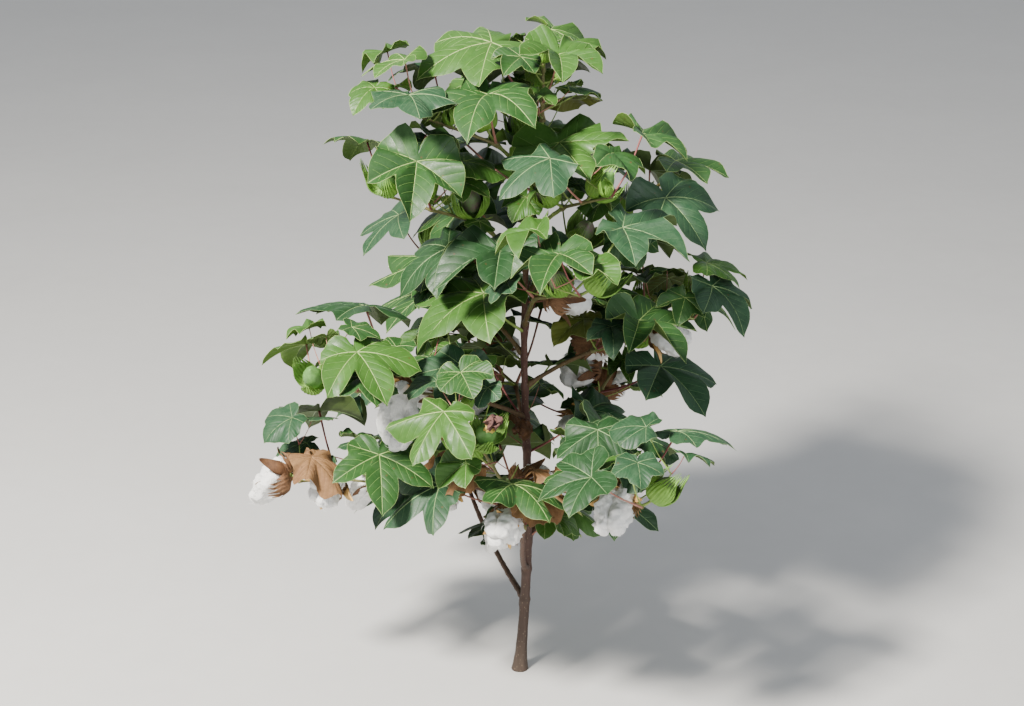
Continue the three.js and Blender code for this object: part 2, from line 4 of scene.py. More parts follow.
import bpy
import numpy as np
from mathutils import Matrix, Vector


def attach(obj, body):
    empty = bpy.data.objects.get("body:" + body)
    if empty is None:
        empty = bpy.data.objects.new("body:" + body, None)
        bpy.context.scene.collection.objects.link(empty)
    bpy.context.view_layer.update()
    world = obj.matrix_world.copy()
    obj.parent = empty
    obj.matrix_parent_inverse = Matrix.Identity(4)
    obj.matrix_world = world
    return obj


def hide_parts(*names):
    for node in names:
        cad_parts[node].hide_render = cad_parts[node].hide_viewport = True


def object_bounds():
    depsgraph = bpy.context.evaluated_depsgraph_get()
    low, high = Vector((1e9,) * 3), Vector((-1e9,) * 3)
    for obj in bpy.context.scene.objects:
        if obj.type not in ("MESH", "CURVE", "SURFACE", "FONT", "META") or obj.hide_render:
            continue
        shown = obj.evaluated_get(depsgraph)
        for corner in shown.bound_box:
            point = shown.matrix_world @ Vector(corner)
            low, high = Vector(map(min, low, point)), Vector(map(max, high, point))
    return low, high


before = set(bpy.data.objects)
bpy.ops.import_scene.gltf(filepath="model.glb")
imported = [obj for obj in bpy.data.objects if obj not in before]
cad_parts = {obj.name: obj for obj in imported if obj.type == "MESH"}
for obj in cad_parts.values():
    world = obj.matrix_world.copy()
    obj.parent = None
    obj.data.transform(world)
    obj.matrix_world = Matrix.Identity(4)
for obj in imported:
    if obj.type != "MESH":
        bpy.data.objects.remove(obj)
cad_box = [list(corner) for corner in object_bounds()]

# A whole cotton plant in full leaf. Growth is worked out in millimetres, by the same seeded rule
# as the solids, and meshes are made in metres.
MM = 0.001

# Main stem
STEM_HEIGHT = 850
FOOT_RADIUS = 8
STEM_TIP_RADIUS = 2.6
FLARE = {"width": 5, "height": 22}
STEM_BEND = {"lean": 30, "sway": 9, "cross": 5.4}
STEM_STEPS = 20

# Nodes of the main stem, counted from the ground up
NODE_COUNT = 18
FIRST_NODE_HEIGHT = 62
NODE_CROWDING = 1.2
NODE_TURN = 135
VEGETATIVE_NODES = (1, 2, 3)
FIRST_FRUITING_NODE = 4
LAST_FRUITING_NODE = 15
LAST_LONG_BRANCH = 7
FIRST_LEAF_NODE = 4

# Branches: lengths in millimetres, elevations above the level and turns in degrees
INTERNODE = {"longest": 118, "shortest": 80, "shrink": 0.82}
BRANCH = {"low": 20, "high": 48, "foot": 10, "tip": -4, "twig": 0.5, "zigzag": 26}
BRANCH_JOINTS = {"low": 4, "high": 3}
SHOOT = {"bough": 200, "foot": 28, "rise": 60, "tip": 56, "step": 46, "joints": 6, "wander": 40}
BOUGH_RADIUS = (3.4, 2.7)
SHOOT_BOUGH_RADIUS = (4.6, 3.1)
TWIG_RADIUS = (2.3, 1.6)
SHOOT_TWIG_RADIUS = (2.8, 1.6)
TIP_TWIG_RADIUS = (2.6, 1.6)
KNOB_REACH = 4.6
SITE_STEP = 6
STEPS = {"bough": 3, "shoot_bough": 4, "stalk": 2}

# Sites on a twig's joint: turns from the twig's heading, and elevations of what sets out there
BRANCH_SITES = {"leaf": (60, 40), "fruit": (-64, 30), "side": (-18, 58)}
SHOOT_SITES = {"leaf": (0, 30), "fruit": (74, 24), "side": (150, 46)}
TIP_SITES = {"leaf": (0, 46), "fruit": (160, 50)}
STEM_SITE = {"turn": -42, "elevation": 36, "drop": 9}

# Leaves: a length runs from the petiole's tip to the tip of the middle lobe
STEM_LEAF = {"length": 138, "lowest": 0.84, "taper_from": 0.75, "taper": (1.12, 0.76)}
BRANCH_LEAF = {"length": 118, "along_branch": 0.74, "up_stem": 0.84}
SHOOT_LEAF = {"length": 118, "along_shoot": 0.66}
SIDE_LEAF = {"length": 72, "least": 0.85, "most": 1.2}
SMALL_LEAF_LENGTH = 68
TIP_LEAVES = {"count": 5, "first": 84, "last": 36, "first_step": 22, "last_step": 9, "rise": 80}
TOP_LEAF = {"length": 124, "petiole": 128, "azimuth": 215, "elevation": 66}
PETIOLE = {"share": 0.92, "least": 0.65, "most": 1.45, "radius_share": 0.017, "taper": 0.85, "lift": 24}
STEEPEST = 84
LOBE_TURN = {"side": 55, "basal": 108, "base": 145.4}
SHOULDER = {"height": 0.4, "low": 0.24, "turn": 20.5}
BASE_SHARE = 0.72
NOTCH_SHARE = 0.09

# Fruit
OPEN_TOP = 51
LOCKS = {"count": 4, "sag": 1.5, "mouth": 16}
PEDUNCLE = {
    "length": 24,
    "radius": 2.1,
    "bud_share": 0.65,
    "open_drop": -26,
    "lift": 24,
    "growth": 0.05,
}
FRUIT_ROOM = {"open": 24, "green": 26, "withered": 20, "bud": 13, "sagging": 19}
FRUIT_MIDDLE = {"open": 26, "green": 26, "withered": 22, "bud": 12}
AGE = {"per_stem_node": 3, "per_joint": 6, "open": 21, "green": 8, "withered": 5}
SHOOT_FRUIT = ("open", "open", "open", "green", "withered", "bud")

# How far chance turns and lifts things in degrees, and changes lengths by a share
CHANCE = {
    "branch": {"turn": 14, "lift": 5, "length": 0.08},
    "shoot": {"turn": 10, "length": 0.06},
    "twig": {"turn": 12, "lift": 10},
    "fruit": {"turn": 10, "lift": 8, "widening": 0.4, "sag": (-0.7, 1)},
    "leaf": {"turn": 14, "lift": 8, "widening": 0.2, "length": 0.07},
    "stance": {"facing": 26, "pitch": (2, 30), "roll": 18},
    "blade": {"fold": (-0.12, 0.6), "droop": (0.08, 0.46)},
    "large": {"sinus": (0.42, 0.58), "side": (0.8, 0.94), "basal": (0.46, 0.64)},
    "small": {"sinus": (0.6, 0.76), "side": (0.78, 0.9), "basal": (0.5, 0.62)},
}

# Clear space. The slot is a gap in front of the stem, where nothing hides it from 25 degrees up.
BLADE_ROOM = 4.2
LIMB_ROOM = 3
STALK_ROOM = 1
WIDEST_ROOM = 30
SAMPLE_STEP = 8
LOWEST_FOLIAGE = 34
CROWN_RADIUS = 395
MASS_REACH = 290
LEAF_TRIES = 34
FRUIT_TRIES = 12
TWIG_TRIES = 8
SHRINK_PER_TRY = 0.011
SLOT = {"half_width": 30, "low": 330, "high": 540, "rise": 0.466}
MOST_BALLS = 160000
SAMPLES_AT_ONCE = 48

HIGHEST_DRAW = 2147483647
DRAW_STEP = 16807
FIRST_SEED = 909
seed = FIRST_SEED


def draw(low, high):
    """The next number of the seeded rule, between low and high."""
    global seed
    seed = seed * DRAW_STEP % HIGHEST_DRAW
    return low + (high - low) * (seed / HIGHEST_DRAW)


def swing(amount):
    """A number of the rule, up to an amount on either side of 0."""
    return draw(-amount, amount)


def factor(amount):
    """A number of the rule, up to an amount on either side of 1."""
    return draw(1 - amount, 1 + amount)


def mix(low, high, share):
    """The value at a share of the way from low to high."""
    return low + (high - low) * share


def unit(vectors):
    """Vectors of length one, along the last axis."""
    return vectors / np.linalg.norm(vectors, axis=-1, keepdims=True)


def heading_of(azimuth, elevation):
    """The unit vector at an azimuth about +Z and an elevation above the level, in degrees."""
    turn = math.radians(azimuth)
    lift = math.radians(elevation)
    level = math.cos(lift)
    return np.array([level * math.cos(turn), level * math.sin(turn), math.sin(lift)])


def arc(start, sets_out, ends, length, steps):
    """Points of a curve from one (azimuth, elevation) to another, in equal steps of mixed headings."""
    points = [start]
    for i in range(steps):
        share = (i + 0.5) / steps
        heading = heading_of(mix(sets_out[0], ends[0], share), mix(sets_out[1], ends[1], share))
        points.append(points[-1] + heading * length / steps)
    return np.array(points)


def stem_at(height):
    """The main stem's axis: a lean that grows with the square of the height, and two slow waves."""
    share = np.asarray(height) / STEM_HEIGHT
    x = STEM_BEND["lean"] * share * share + STEM_BEND["sway"] * np.sin(2 * np.pi * share)
    y = STEM_BEND["cross"] * np.sin(3 * np.pi * share)
    return np.stack([x, y, share * STEM_HEIGHT], axis=-1)


def stem_radius(height):
    """A straight taper, with a flare that dies away above the ground."""
    flare = FLARE["width"] * np.exp(-np.asarray(height) / FLARE["height"])
    return mix(FOOT_RADIUS, STEM_TIP_RADIUS, np.asarray(height) / STEM_HEIGHT) + flare


def node_height(node):
    """Nodes crowd together upwards, by a power of the share of them that is still above."""
    return mix(FIRST_NODE_HEIGHT, STEM_HEIGHT, 1 - (1 - node / NODE_COUNT) ** NODE_CROWDING)


def samples_along(points):
    """Points along a line, about a sample step apart, without its first one."""
    samples = []
    for start, end in zip(points[:-1], points[1:]):
        count = math.ceil(np.linalg.norm(end - start) / SAMPLE_STEP)
        share = np.arange(1, count + 1)[:, None] / count
        samples.append(start + (end - start) * share)
    return np.concatenate(samples)


class Room:
    """Occupied space, as balls along everything that has been placed."""

    def __init__(self):
        self.at = np.zeros((MOST_BALLS, 3))
        self.radius = np.zeros(MOST_BALLS)
        self.count = 0
        self.low, self.high = np.full(3, -np.inf), np.full(3, np.inf)

    def add(self, at, radius):
        """A ball of one radius at each point."""
        end = self.count + len(at)
        self.at[self.count:end] = at
        self.radius[self.count:end] = radius
        self.count = end

    def is_clear(self, at, radius, centre):
        """Whether samples keep to the crown and their mass's space, out of the slot, and off every ball."""
        if len(at) == 0:
            return True
        x, y, z = at.T
        bared = z + SLOT["rise"] * y
        in_slot = (y < 0) & (bared > SLOT["low"]) & (bared < SLOT["high"])
        in_slot &= np.abs(x - stem_at(bared)[:, 0]) < SLOT["half_width"]
        outside = (z <= LOWEST_FOLIAGE) | (np.hypot(x, y) >= CROWN_RADIUS)
        outside |= np.linalg.norm(at - centre, axis=1) >= MASS_REACH
        outside |= ((at < self.low) | (at > self.high)).any(axis=1)
        if (outside | in_slot).any():
            return False
        reach = WIDEST_ROOM + radius
        balls = self.at[: self.count]
        near = ((balls > at.min(0) - reach) & (balls < at.max(0) + reach)).all(axis=1)
        balls = balls[near]
        rooms = self.radius[: self.count][near] + radius
        for first in range(0, len(at), SAMPLES_AT_ONCE):
            apart = at[first:first + SAMPLES_AT_ONCE, None] - balls
            if (np.einsum("ijk,ijk->ij", apart, apart) <= rooms**2).any():
                return False
        return True


room = Room()
boughs = []
masses = {}
fruit_sites = []
leaf_sites = []
fruits = []
leaves = []


def add_mass(name, centre=None):
    """A new mass: its centre, and later its twig and the limb's tip that it grows from."""
    masses[name] = SimpleNamespace(centre=centre, twig=None, tip=None)
    return masses[name]


def add_knob(mass, tip, along, radii):
    """A mass grows from a knob just past its limb's tip."""
    mass.centre = tip + along * KNOB_REACH
    mass.tip = tip
    mass.twig = SimpleNamespace(points=[mass.centre], radii=radii)


def add_bough(name, mass, points, radii, twig_radii):
    """A bough, the room that it takes, and its mass's knob."""
    add_knob(mass, points[-1], unit(points[-1] - points[-2]), twig_radii)
    boughs.append(SimpleNamespace(name=name, points=points, radii=radii))
    room.add(samples_along(points), radii[0] + LIMB_ROOM)


def extend_twig(mass, azimuth, elevation, length):
    """Grows a twig's next internode at the first heading that is clear, or the last one tried."""
    start = mass.twig.points[-1]
    radius = mass.twig.radii[0] + LIMB_ROOM
    for attempt in range(TWIG_TRIES + 1):
        turn = azimuth + swing(CHANCE["twig"]["turn"]) * attempt
        end = start + heading_of(turn, elevation + swing(CHANCE["twig"]["lift"]) * attempt) * length
        samples = samples_along([start, end])
        if attempt == TWIG_TRIES or room.is_clear(samples[2:], radius, mass.centre):
            break
    mass.twig.points.append(end)
    room.add(samples, radius)


def add_sites(mass, heading, side, sites, size, kind):
    """The leaf, fruit and side leaf of a twig's last joint, spaced out down the internode below it."""
    points = mass.twig.points
    at = points[-1]
    below = unit(points[-2] - at) if len(points) > 1 else np.zeros(3)
    turn, lift = sites["leaf"]
    leaf_sites.append(site_of(mass, at, heading + side * turn, lift, size))
    turn, lift = sites["fruit"]
    fruit = site_of(mass, at + below * SITE_STEP, heading + side * turn, lift, size)
    fruit.kind = kind
    fruit_sites.append(fruit)
    if "side" in sites:
        turn, lift = sites["side"]
        small = SIDE_LEAF["length"] * draw(SIDE_LEAF["least"], SIDE_LEAF["most"])
        leaf_sites.append(site_of(mass, at + below * 2 * SITE_STEP, heading + side * turn, lift, small))


def site_of(mass, at, azimuth, elevation, size, on_stem=False, is_top=False):
    """Where a leaf or fruit sets out: its place, heading and size."""
    return SimpleNamespace(
        mass=mass, at=at, azimuth=azimuth, elevation=elevation, size=size, on_stem=on_stem, is_top=is_top
    )


def kind_of_fruit(age):
    """The first kind, from open down, whose age a fruit has passed, or else a bud."""
    for kind in ("open", "green", "withered"):
        if age > AGE[kind]:
            return kind
    return "bud"


def grow_fruiting_branch(node):
    """One fruiting branch: a bare first internode, and past it a zigzag of shorter ones in its mass."""
    mass = add_mass(f"fruiting_foliage_{node:02d}")
    rise = (node - FIRST_FRUITING_NODE) / (LAST_FRUITING_NODE - FIRST_FRUITING_NODE)
    azimuth = NODE_TURN * node + swing(CHANCE["branch"]["turn"])
    elevation = mix(BRANCH["low"], BRANCH["high"], rise) + swing(CHANCE["branch"]["lift"])
    length = mix(INTERNODE["longest"], INTERNODE["shortest"], rise) * factor(CHANCE["branch"]["length"])
    foot = stem_at(node_height(node))
    start = (azimuth, elevation + BRANCH["foot"])
    end = (azimuth, elevation + BRANCH["tip"])
    points = arc(foot, start, end, length + stem_radius(foot[2]), STEPS["bough"])
    add_bough(f"fruiting_branch_{node:02d}", mass, points, BOUGH_RADIUS, TWIG_RADIUS)
    largest = BRANCH_LEAF["length"] * mix(1, BRANCH_LEAF["up_stem"], rise)
    joints = BRANCH_JOINTS["high" if node > LAST_LONG_BRANCH else "low"]
    heading = azimuth
    side = 1 if node % 2 else -1
    for joint in range(joints):
        age = AGE["per_stem_node"] * (NODE_COUNT - node) - AGE["per_joint"] * joint
        size = largest * mix(1, BRANCH_LEAF["along_branch"], joint / (BRANCH_JOINTS["low"] - 1))
        add_sites(mass, heading, side, BRANCH_SITES, size, kind_of_fruit(age))
        if joint == joints - 1:
            break
        length *= INTERNODE["shrink"]
        heading -= side * BRANCH["zigzag"]
        extend_twig(mass, heading, elevation * BRANCH["twig"], length)
        side = -side


def grow_vegetative_branch(node):
    """One vegetative branch: a long bough that sweeps up, then an upright leafy shoot in its mass."""
    mass = add_mass(f"vegetative_foliage_{node}")
    azimuth = NODE_TURN * node + swing(CHANCE["shoot"]["turn"])
    end = (azimuth + swing(CHANCE["shoot"]["turn"]), SHOOT["tip"])
    length = SHOOT["bough"] * factor(CHANCE["shoot"]["length"])
    points = arc(stem_at(node_height(node)), (azimuth, SHOOT["foot"]), end, length, STEPS["shoot_bough"])
    add_bough(f"vegetative_branch_{node}", mass, points, SHOOT_BOUGH_RADIUS, SHOOT_TWIG_RADIUS)
    heading = azimuth
    for joint in range(SHOOT["joints"]):
        turn = azimuth + NODE_TURN * (joint + 1)
        size = SHOOT_LEAF["length"] * mix(1, SHOOT_LEAF["along_shoot"], joint / SHOOT["joints"])
        add_sites(mass, turn, 1, SHOOT_SITES, size, SHOOT_FRUIT[joint])
        if joint == SHOOT["joints"] - 1:
            break
        heading += swing(SHOOT["wander"])
        extend_twig(mass, heading, SHOOT["rise"], SHOOT["step"])


def grow_tip():
    """The growing tip: the stem's last soft internodes with young leaves, buds and the tall top leaf."""
    mass = add_mass("growing_tip")
    add_knob(mass, stem_at(STEM_HEIGHT), heading_of(0, 90), TIP_TWIG_RADIUS)
    azimuth, elevation, length = (TOP_LEAF[name] for name in ("azimuth", "elevation", "length"))
    leaf_sites.append(site_of(mass, mass.centre, azimuth, elevation, length, is_top=True))
    for joint in range(TIP_LEAVES["count"]):
        share = joint / (TIP_LEAVES["count"] - 1)
        turn = NODE_TURN * (NODE_COUNT + joint)
        step = mix(TIP_LEAVES["first_step"], TIP_LEAVES["last_step"], share)
        extend_twig(mass, turn, TIP_LEAVES["rise"], step)
        add_sites(mass, turn, 1, TIP_SITES, mix(TIP_LEAVES["first"], TIP_LEAVES["last"], share), "bud")


def site_stem_leaf(node):
    """A main-stem leaf is a mass of its own, on a long petiole just under its node's branch."""
    at = stem_at(node_height(node) - STEM_SITE["drop"])
    mass = add_mass(f"stem_leaf_{node:02d}", at)
    share = node / NODE_COUNT
    ends = STEM_LEAF["taper"] if share > STEM_LEAF["taper_from"] else (STEM_LEAF["lowest"], 1)
    size = STEM_LEAF["length"] * mix(*ends, share)
    azimuth = NODE_TURN * node + STEM_SITE["turn"]
    leaf_sites.append(site_of(mass, at, azimuth, STEM_SITE["elevation"], size, on_stem=True))


def place_fruit(site):
    """Places a fruit and its peduncle at the first try that is clear."""
    chance = CHANCE["fruit"]
    is_open = site.kind == "open"
    share = PEDUNCLE["bud_share"] if site.kind == "bud" else 1
    radius = PEDUNCLE["radius"] * share
    centre = site.mass.centre
    for attempt in range(FRUIT_TRIES):
        turn = site.azimuth + swing(chance["turn"]) * (attempt + 1)
        lift = site.elevation + swing(chance["lift"]) * (1 + chance["widening"] * attempt)
        tip_lift = lift + (PEDUNCLE["open_drop"] if is_open else PEDUNCLE["lift"])
        length = PEDUNCLE["length"] * share * (1 + PEDUNCLE["growth"] * attempt)
        points = arc(site.at, (turn, lift), (turn, tip_lift), length, STEPS["stalk"])
        sag = max(0, draw(*chance["sag"])) * is_open
        axis = heading_of(turn, tip_lift)
        fruit = SimpleNamespace(kind=site.kind, sag=sag, points=points, radius=radius)
        fruit.end, fruit.axis, fruit.turn = points[-1], axis, draw(0, 360)
        middle = (fruit.end + axis * FRUIT_MIDDLE[site.kind])[None]
        hanging = on_boll(fruit, OPEN_TOP)[None]
        stalk = samples_along(points)
        is_clear = room.is_clear(middle, FRUIT_ROOM[site.kind], centre)
        is_clear = is_clear and (sag == 0 or room.is_clear(hanging, FRUIT_ROOM["sagging"], centre))
        if not is_clear or not room.is_clear(stalk[1:], radius + STALK_ROOM, centre):
            continue
        fruits.append(fruit)
        room.add(middle, FRUIT_ROOM[site.kind])
        if sag > 0:
            room.add(hanging, FRUIT_ROOM["sagging"])
        room.add(stalk, radius + LIMB_ROOM)
        return


def on_boll(fruit, distance):
    """A point on an open boll's middle line, which bends down past the burr by the boll's sag."""
    past = max(distance - LOCKS["mouth"], 0)
    drop = np.array([0, 0, -fruit.sag * LOCKS["sag"] * past])
    return fruit.end + fruit.axis * (distance - PEDUNCLE["radius"]) + drop


def rule_outline(leaf):
    """The outline that the rule keeps clear: angles in degrees from the middle lobe's tip, and radii."""
    low = mix(leaf.sinus, 1, SHOULDER["height"])
    half = [
        (SHOULDER["turn"], low),
        (LOBE_TURN["side"] / 2, leaf.sinus),
        (LOBE_TURN["side"] - SHOULDER["turn"], mix(leaf.sinus, leaf.side, SHOULDER["height"])),
        (LOBE_TURN["side"], leaf.side),
        (LOBE_TURN["side"] + SHOULDER["turn"], mix(leaf.sinus, leaf.side, SHOULDER["low"])),
        (LOBE_TURN["basal"], leaf.basal),
        (LOBE_TURN["base"], leaf.basal * BASE_SHARE),
    ]
    mirrored = [(360 - angle, share) for angle, share in reversed(half)]
    whole = np.array([(0, 1), *half, (180, NOTCH_SHARE), *mirrored])
    return whole[:, 0], whole[:, 1] * leaf.size


def turn_from_midrib(angle):
    """How far angles lie from the nearest lobe's midrib, in degrees."""
    turn = np.where(angle > 180, 360 - angle, angle)
    return np.minimum(turn, np.minimum(np.abs(turn - LOBE_TURN["side"]), np.abs(turn - LOBE_TURN["basal"])))


def on_rule_blade(leaf, angle, radius):
    """Points of the rule's bent blade: each lobe folded along its midrib, the tips drooping."""
    rise = leaf.fold * radius * np.sin(np.radians(turn_from_midrib(angle)))
    lift = rise - leaf.droop * radius * radius / leaf.size
    across = (radius * np.sin(np.radians(angle)))[:, None] * leaf.across
    along = (radius * np.cos(np.radians(angle)))[:, None] * leaf.axis
    return leaf.end + along + across + lift[:, None] * leaf.up


def blade_samples(leaf):
    """Samples over a blade: rays to every corner of its outline and between them."""
    angles, radii = rule_outline(leaf)
    between = (angles + np.append(angles[1:], 360)) / 2
    angles = np.append(angles, between)
    radii = np.append(radii, (radii + np.roll(radii, -1)) / 2)
    counts = np.ceil(radii / SAMPLE_STEP).astype(int)
    first = np.repeat(np.cumsum(counts) - counts, counts)
    share = (np.arange(counts.sum()) - first + 1) / np.repeat(counts, counts)
    return on_rule_blade(leaf, np.repeat(angles, counts), np.repeat(radii, counts) * share)


def shape_petiole(site, size, azimuth, spread):
    """A petiole sets out from the limb and bends up to the blade."""
    lift = min(site.elevation + swing(CHANCE["leaf"]["lift"]) * spread, STEEPEST)
    share = PETIOLE["share"] * draw(PETIOLE["least"], PETIOLE["most"])
    length = TOP_LEAF["petiole"] if site.is_top else size * share
    if site.on_stem:
        length += stem_radius(site.at[2])
    tip_lift = min(lift + PETIOLE["lift"], STEEPEST)
    return arc(site.at, (azimuth, lift), (azimuth, tip_lift), length, STEPS["stalk"])


def shape_leaf(site, attempt):
    """A leaf's form and stance for one try: later tries reach wider and are a little smaller."""
    chance = CHANCE["leaf"]
    spread = 1 + chance["widening"] * attempt
    size = site.size * factor(chance["length"]) * (1 - SHRINK_PER_TRY * attempt)
    azimuth = site.azimuth + swing(chance["turn"]) * spread
    leaf = SimpleNamespace(size=size, radius=size * PETIOLE["radius_share"])
    leaf.points = shape_petiole(site, size, azimuth, spread)
    leaf.end = leaf.points[-1]
    stance = CHANCE["stance"]
    facing = azimuth + swing(stance["facing"])
    leaf.axis = heading_of(facing, -draw(*stance["pitch"]))
    level = heading_of(facing + 90, 0)
    roll = math.radians(swing(stance["roll"]))
    leaf.across = level * math.cos(roll) + np.cross(leaf.axis, level) * math.sin(roll)
    leaf.up = np.cross(leaf.axis, leaf.across)
    lobes = CHANCE["small"] if size < SMALL_LEAF_LENGTH else CHANCE["large"]
    for name, ends in {**CHANCE["blade"], **lobes}.items():
        setattr(leaf, name, draw(*ends))
    return leaf


def place_leaf(site, tries=LEAF_TRIES, blade_room=BLADE_ROOM):
    """Places a leaf at the first try whose blade and petiole are both clear, and says whether it did."""
    for attempt in range(tries):
        leaf = shape_leaf(site, attempt)
        stalk = samples_along(leaf.points)
        if not room.is_clear(stalk[1:], leaf.radius + STALK_ROOM, site.mass.centre):
            continue
        blade = blade_samples(leaf)
        if not room.is_clear(blade, blade_room, site.mass.centre):
            continue
        leaves.append(leaf)
        room.add(blade, blade_room)
        room.add(stalk, leaf.radius + LIMB_ROOM)
        return True
    return False


# Growth runs from limbs to fruit to leaves, so that leaves give way, and from the top leaf down
room.add(samples_along(stem_at(np.arange(STEM_STEPS + 1) * STEM_HEIGHT / STEM_STEPS)), FOOT_RADIUS)
for node in VEGETATIVE_NODES:
    grow_vegetative_branch(node)
for node in range(FIRST_FRUITING_NODE, LAST_FRUITING_NODE + 1):
    grow_fruiting_branch(node)
grow_tip()
for node in range(FIRST_LEAF_NODE, NODE_COUNT):
    site_stem_leaf(node)
for site in fruit_sites:
    place_fruit(site)
leaf_sites.sort(key=lambda site: -site.size * site.at[2])
bare_sites = [site for site in leaf_sites if not place_leaf(site)]

# Finer growth: short side twigs with small leaves, in the space that is left inside each mass's reach.
# They keep to thinner clear space, because these blades are thin.
FINE = {
    "twig": (26, 62),
    "lift": (10, 62),
    "turn": (45, 150),
    "bend": 20,
    "rise": 14,
    "steps": 3,
    "radius": 1.1,
    "leaf": (36, 68),
    "leaf_turns": (0, 140, -80),
    "leaf_lift": (20, 60),
    "stem_leaf": (48, 84),
    "stem_turns": (70, 190, 300),
    "stem_swing": 20,
    "blade_room": 1.5,
    "tries": 22,
    "shrunken": (0.42, 0.7),
}
main_leaf_count = len(leaves)
room.low, room.high = np.array(cad_box) / MM
fine_twigs = []


def site_fine_twig(mass, at, heading):
    """A side twig from a limb's joint, where it is clear, with two leaves at its tip and one below."""
    azimuth = heading + draw(*FINE["turn"]) * (1 if draw(0, 1) > 0.5 else -1)
    lift = draw(*FINE["lift"])
    ends = (azimuth + swing(FINE["bend"]), lift + FINE["rise"])
    points = arc(at, (azimuth, lift), ends, draw(*FINE["twig"]), FINE["steps"])
    samples = samples_along(points)
    if not room.is_clear(samples[1:], FINE["radius"] + STALK_ROOM, mass.centre):
        return []
    fine_twigs.append(points)
    room.add(samples, FINE["radius"] + STALK_ROOM)
    sites = []
    for place, turn in zip((points[-1], points[-1], points[1]), FINE["leaf_turns"]):
        lift = draw(*FINE["leaf_lift"])
        sites.append(site_of(mass, place, azimuth + turn, lift, draw(*FINE["leaf"])))
    return sites


def sites_of_fine_twigs():
    """Fine twigs at every joint of the masses' twigs and halfway between them."""
    sites = []
    for mass in masses.values():
        if mass.twig is None:
            continue
        points = np.array(mass.twig.points)
        middles = (points[1:] + points[:-1]) / 2
        along = points[-1] - points[0]
        heading = math.degrees(math.atan2(along[1], along[0]))
        for at in [*points, *middles]:
            sites += site_fine_twig(mass, at, heading)
            sites += site_fine_twig(mass, at, heading + 180)
    return sites


def sites_on_stem():
    """Small leaves in the axils of the main stem's nodes, on either side of them."""
    sites = []
    for node in range(FIRST_FRUITING_NODE - 1, NODE_COUNT):
        at = stem_at(node_height(node))
        mass = SimpleNamespace(centre=at)
        for turn in FINE["stem_turns"]:
            azimuth = NODE_TURN * node + turn + swing(FINE["stem_swing"])
            size = draw(*FINE["stem_leaf"])
            sites.append(site_of(mass, at, azimuth, draw(*FINE["leaf_lift"]), size, on_stem=True))
    return sites


fine_sites = [*bare_sites, *sites_on_stem(), *sites_of_fine_twigs()]
for site in bare_sites:
    site.size *= draw(*FINE["shrunken"])
for site in fine_sites:
    place_leaf(site, FINE["tries"], FINE["blade_room"])

# Chance for the looks, apart from the rule's own draws
chance = np.random.default_rng(FIRST_SEED)
RIPPLE = {"waves": 9, "spread": (0.7, 1.4)}


def ripple(points, wavelength, key):
    """Smooth lumps between about -1 and 1: a sum of sine waves in seeded directions."""
    own = np.random.default_rng(key)
    waves = RIPPLE["waves"]
    directions = unit(own.normal(size=(waves, 3))) * own.uniform(*RIPPLE["spread"], (waves, 1))
    phases = own.uniform(0, 2 * np.pi, waves)
    turns = points @ directions.T * (2 * np.pi / wavelength) + phases
    return np.sin(turns).sum(axis=-1) / math.sqrt(waves)


def lumps(points, layers):
    """Ripples added up. Each layer has a depth, a wavelength, a key and a share by which heights count."""
    return sum(depth * ripple(points * [1, 1, upward], wave, key) for depth, wave, key, upward in layers)


def shifts(points, wavelength, first_key):
    """Moves along X, Y and Z, each by a ripple of its own."""
    return np.stack([ripple(points, wavelength, first_key + k) for k in range(3)], -1)


# Faces, always as rows of three vertex numbers that run round their outside
def grid_faces(rows, columns, is_round):
    """Two triangles for each cell of a grid, round to the first column again where it is round."""
    across = np.arange(columns if is_round else columns - 1)
    row, column = np.meshgrid(np.arange(rows - 1), across, indexing="ij")
    after = (column + 1) % columns
    a, b = row * columns + column, row * columns + after
    c, d = a + columns, b + columns
    return np.concatenate([np.stack([a, b, d], -1).reshape(-1, 3), np.stack([a, d, c], -1).reshape(-1, 3)])


def fan_faces(pole, ring, is_turned=False):
    """A triangle from a pole to each step round a ring of vertices, or the other way about where turned."""
    faces = np.stack([np.full(len(ring), pole), ring, np.roll(ring, -1)], -1)
    return faces[:, [0, 2, 1]] if is_turned else faces


def tube_faces(rings, sides):
    """A closed tube: its rings, then a pole for each end."""
    around = np.arange(sides)
    foot = fan_faces(rings * sides, around, True)
    tip = fan_faces(rings * sides + 1, around + (rings - 1) * sides)
    return np.concatenate([grid_faces(rings, sides, True), foot, tip])


def shell_faces(rows, columns):
    """A thin closed sheet: an outer grid, an inner one, and strips that join them along the edges."""
    outer = grid_faces(rows, columns, False)
    inner = outer[:, ::-1] + rows * columns
    numbers = np.arange(rows * columns).reshape(rows, columns)
    edge = np.concatenate([numbers[0], numbers[1:, -1], numbers[-1, -2::-1], numbers[-2:0:-1, 0]])
    after = np.roll(edge, -1)
    under, under_after = edge + rows * columns, after + rows * columns
    strips = [np.stack([edge, under_after, after], -1), np.stack([edge, under, under_after], -1)]
    return np.concatenate([outer, inner, *strips])


# The foliage masses, which most pieces replace together
FOLIAGE = sorted(masses)


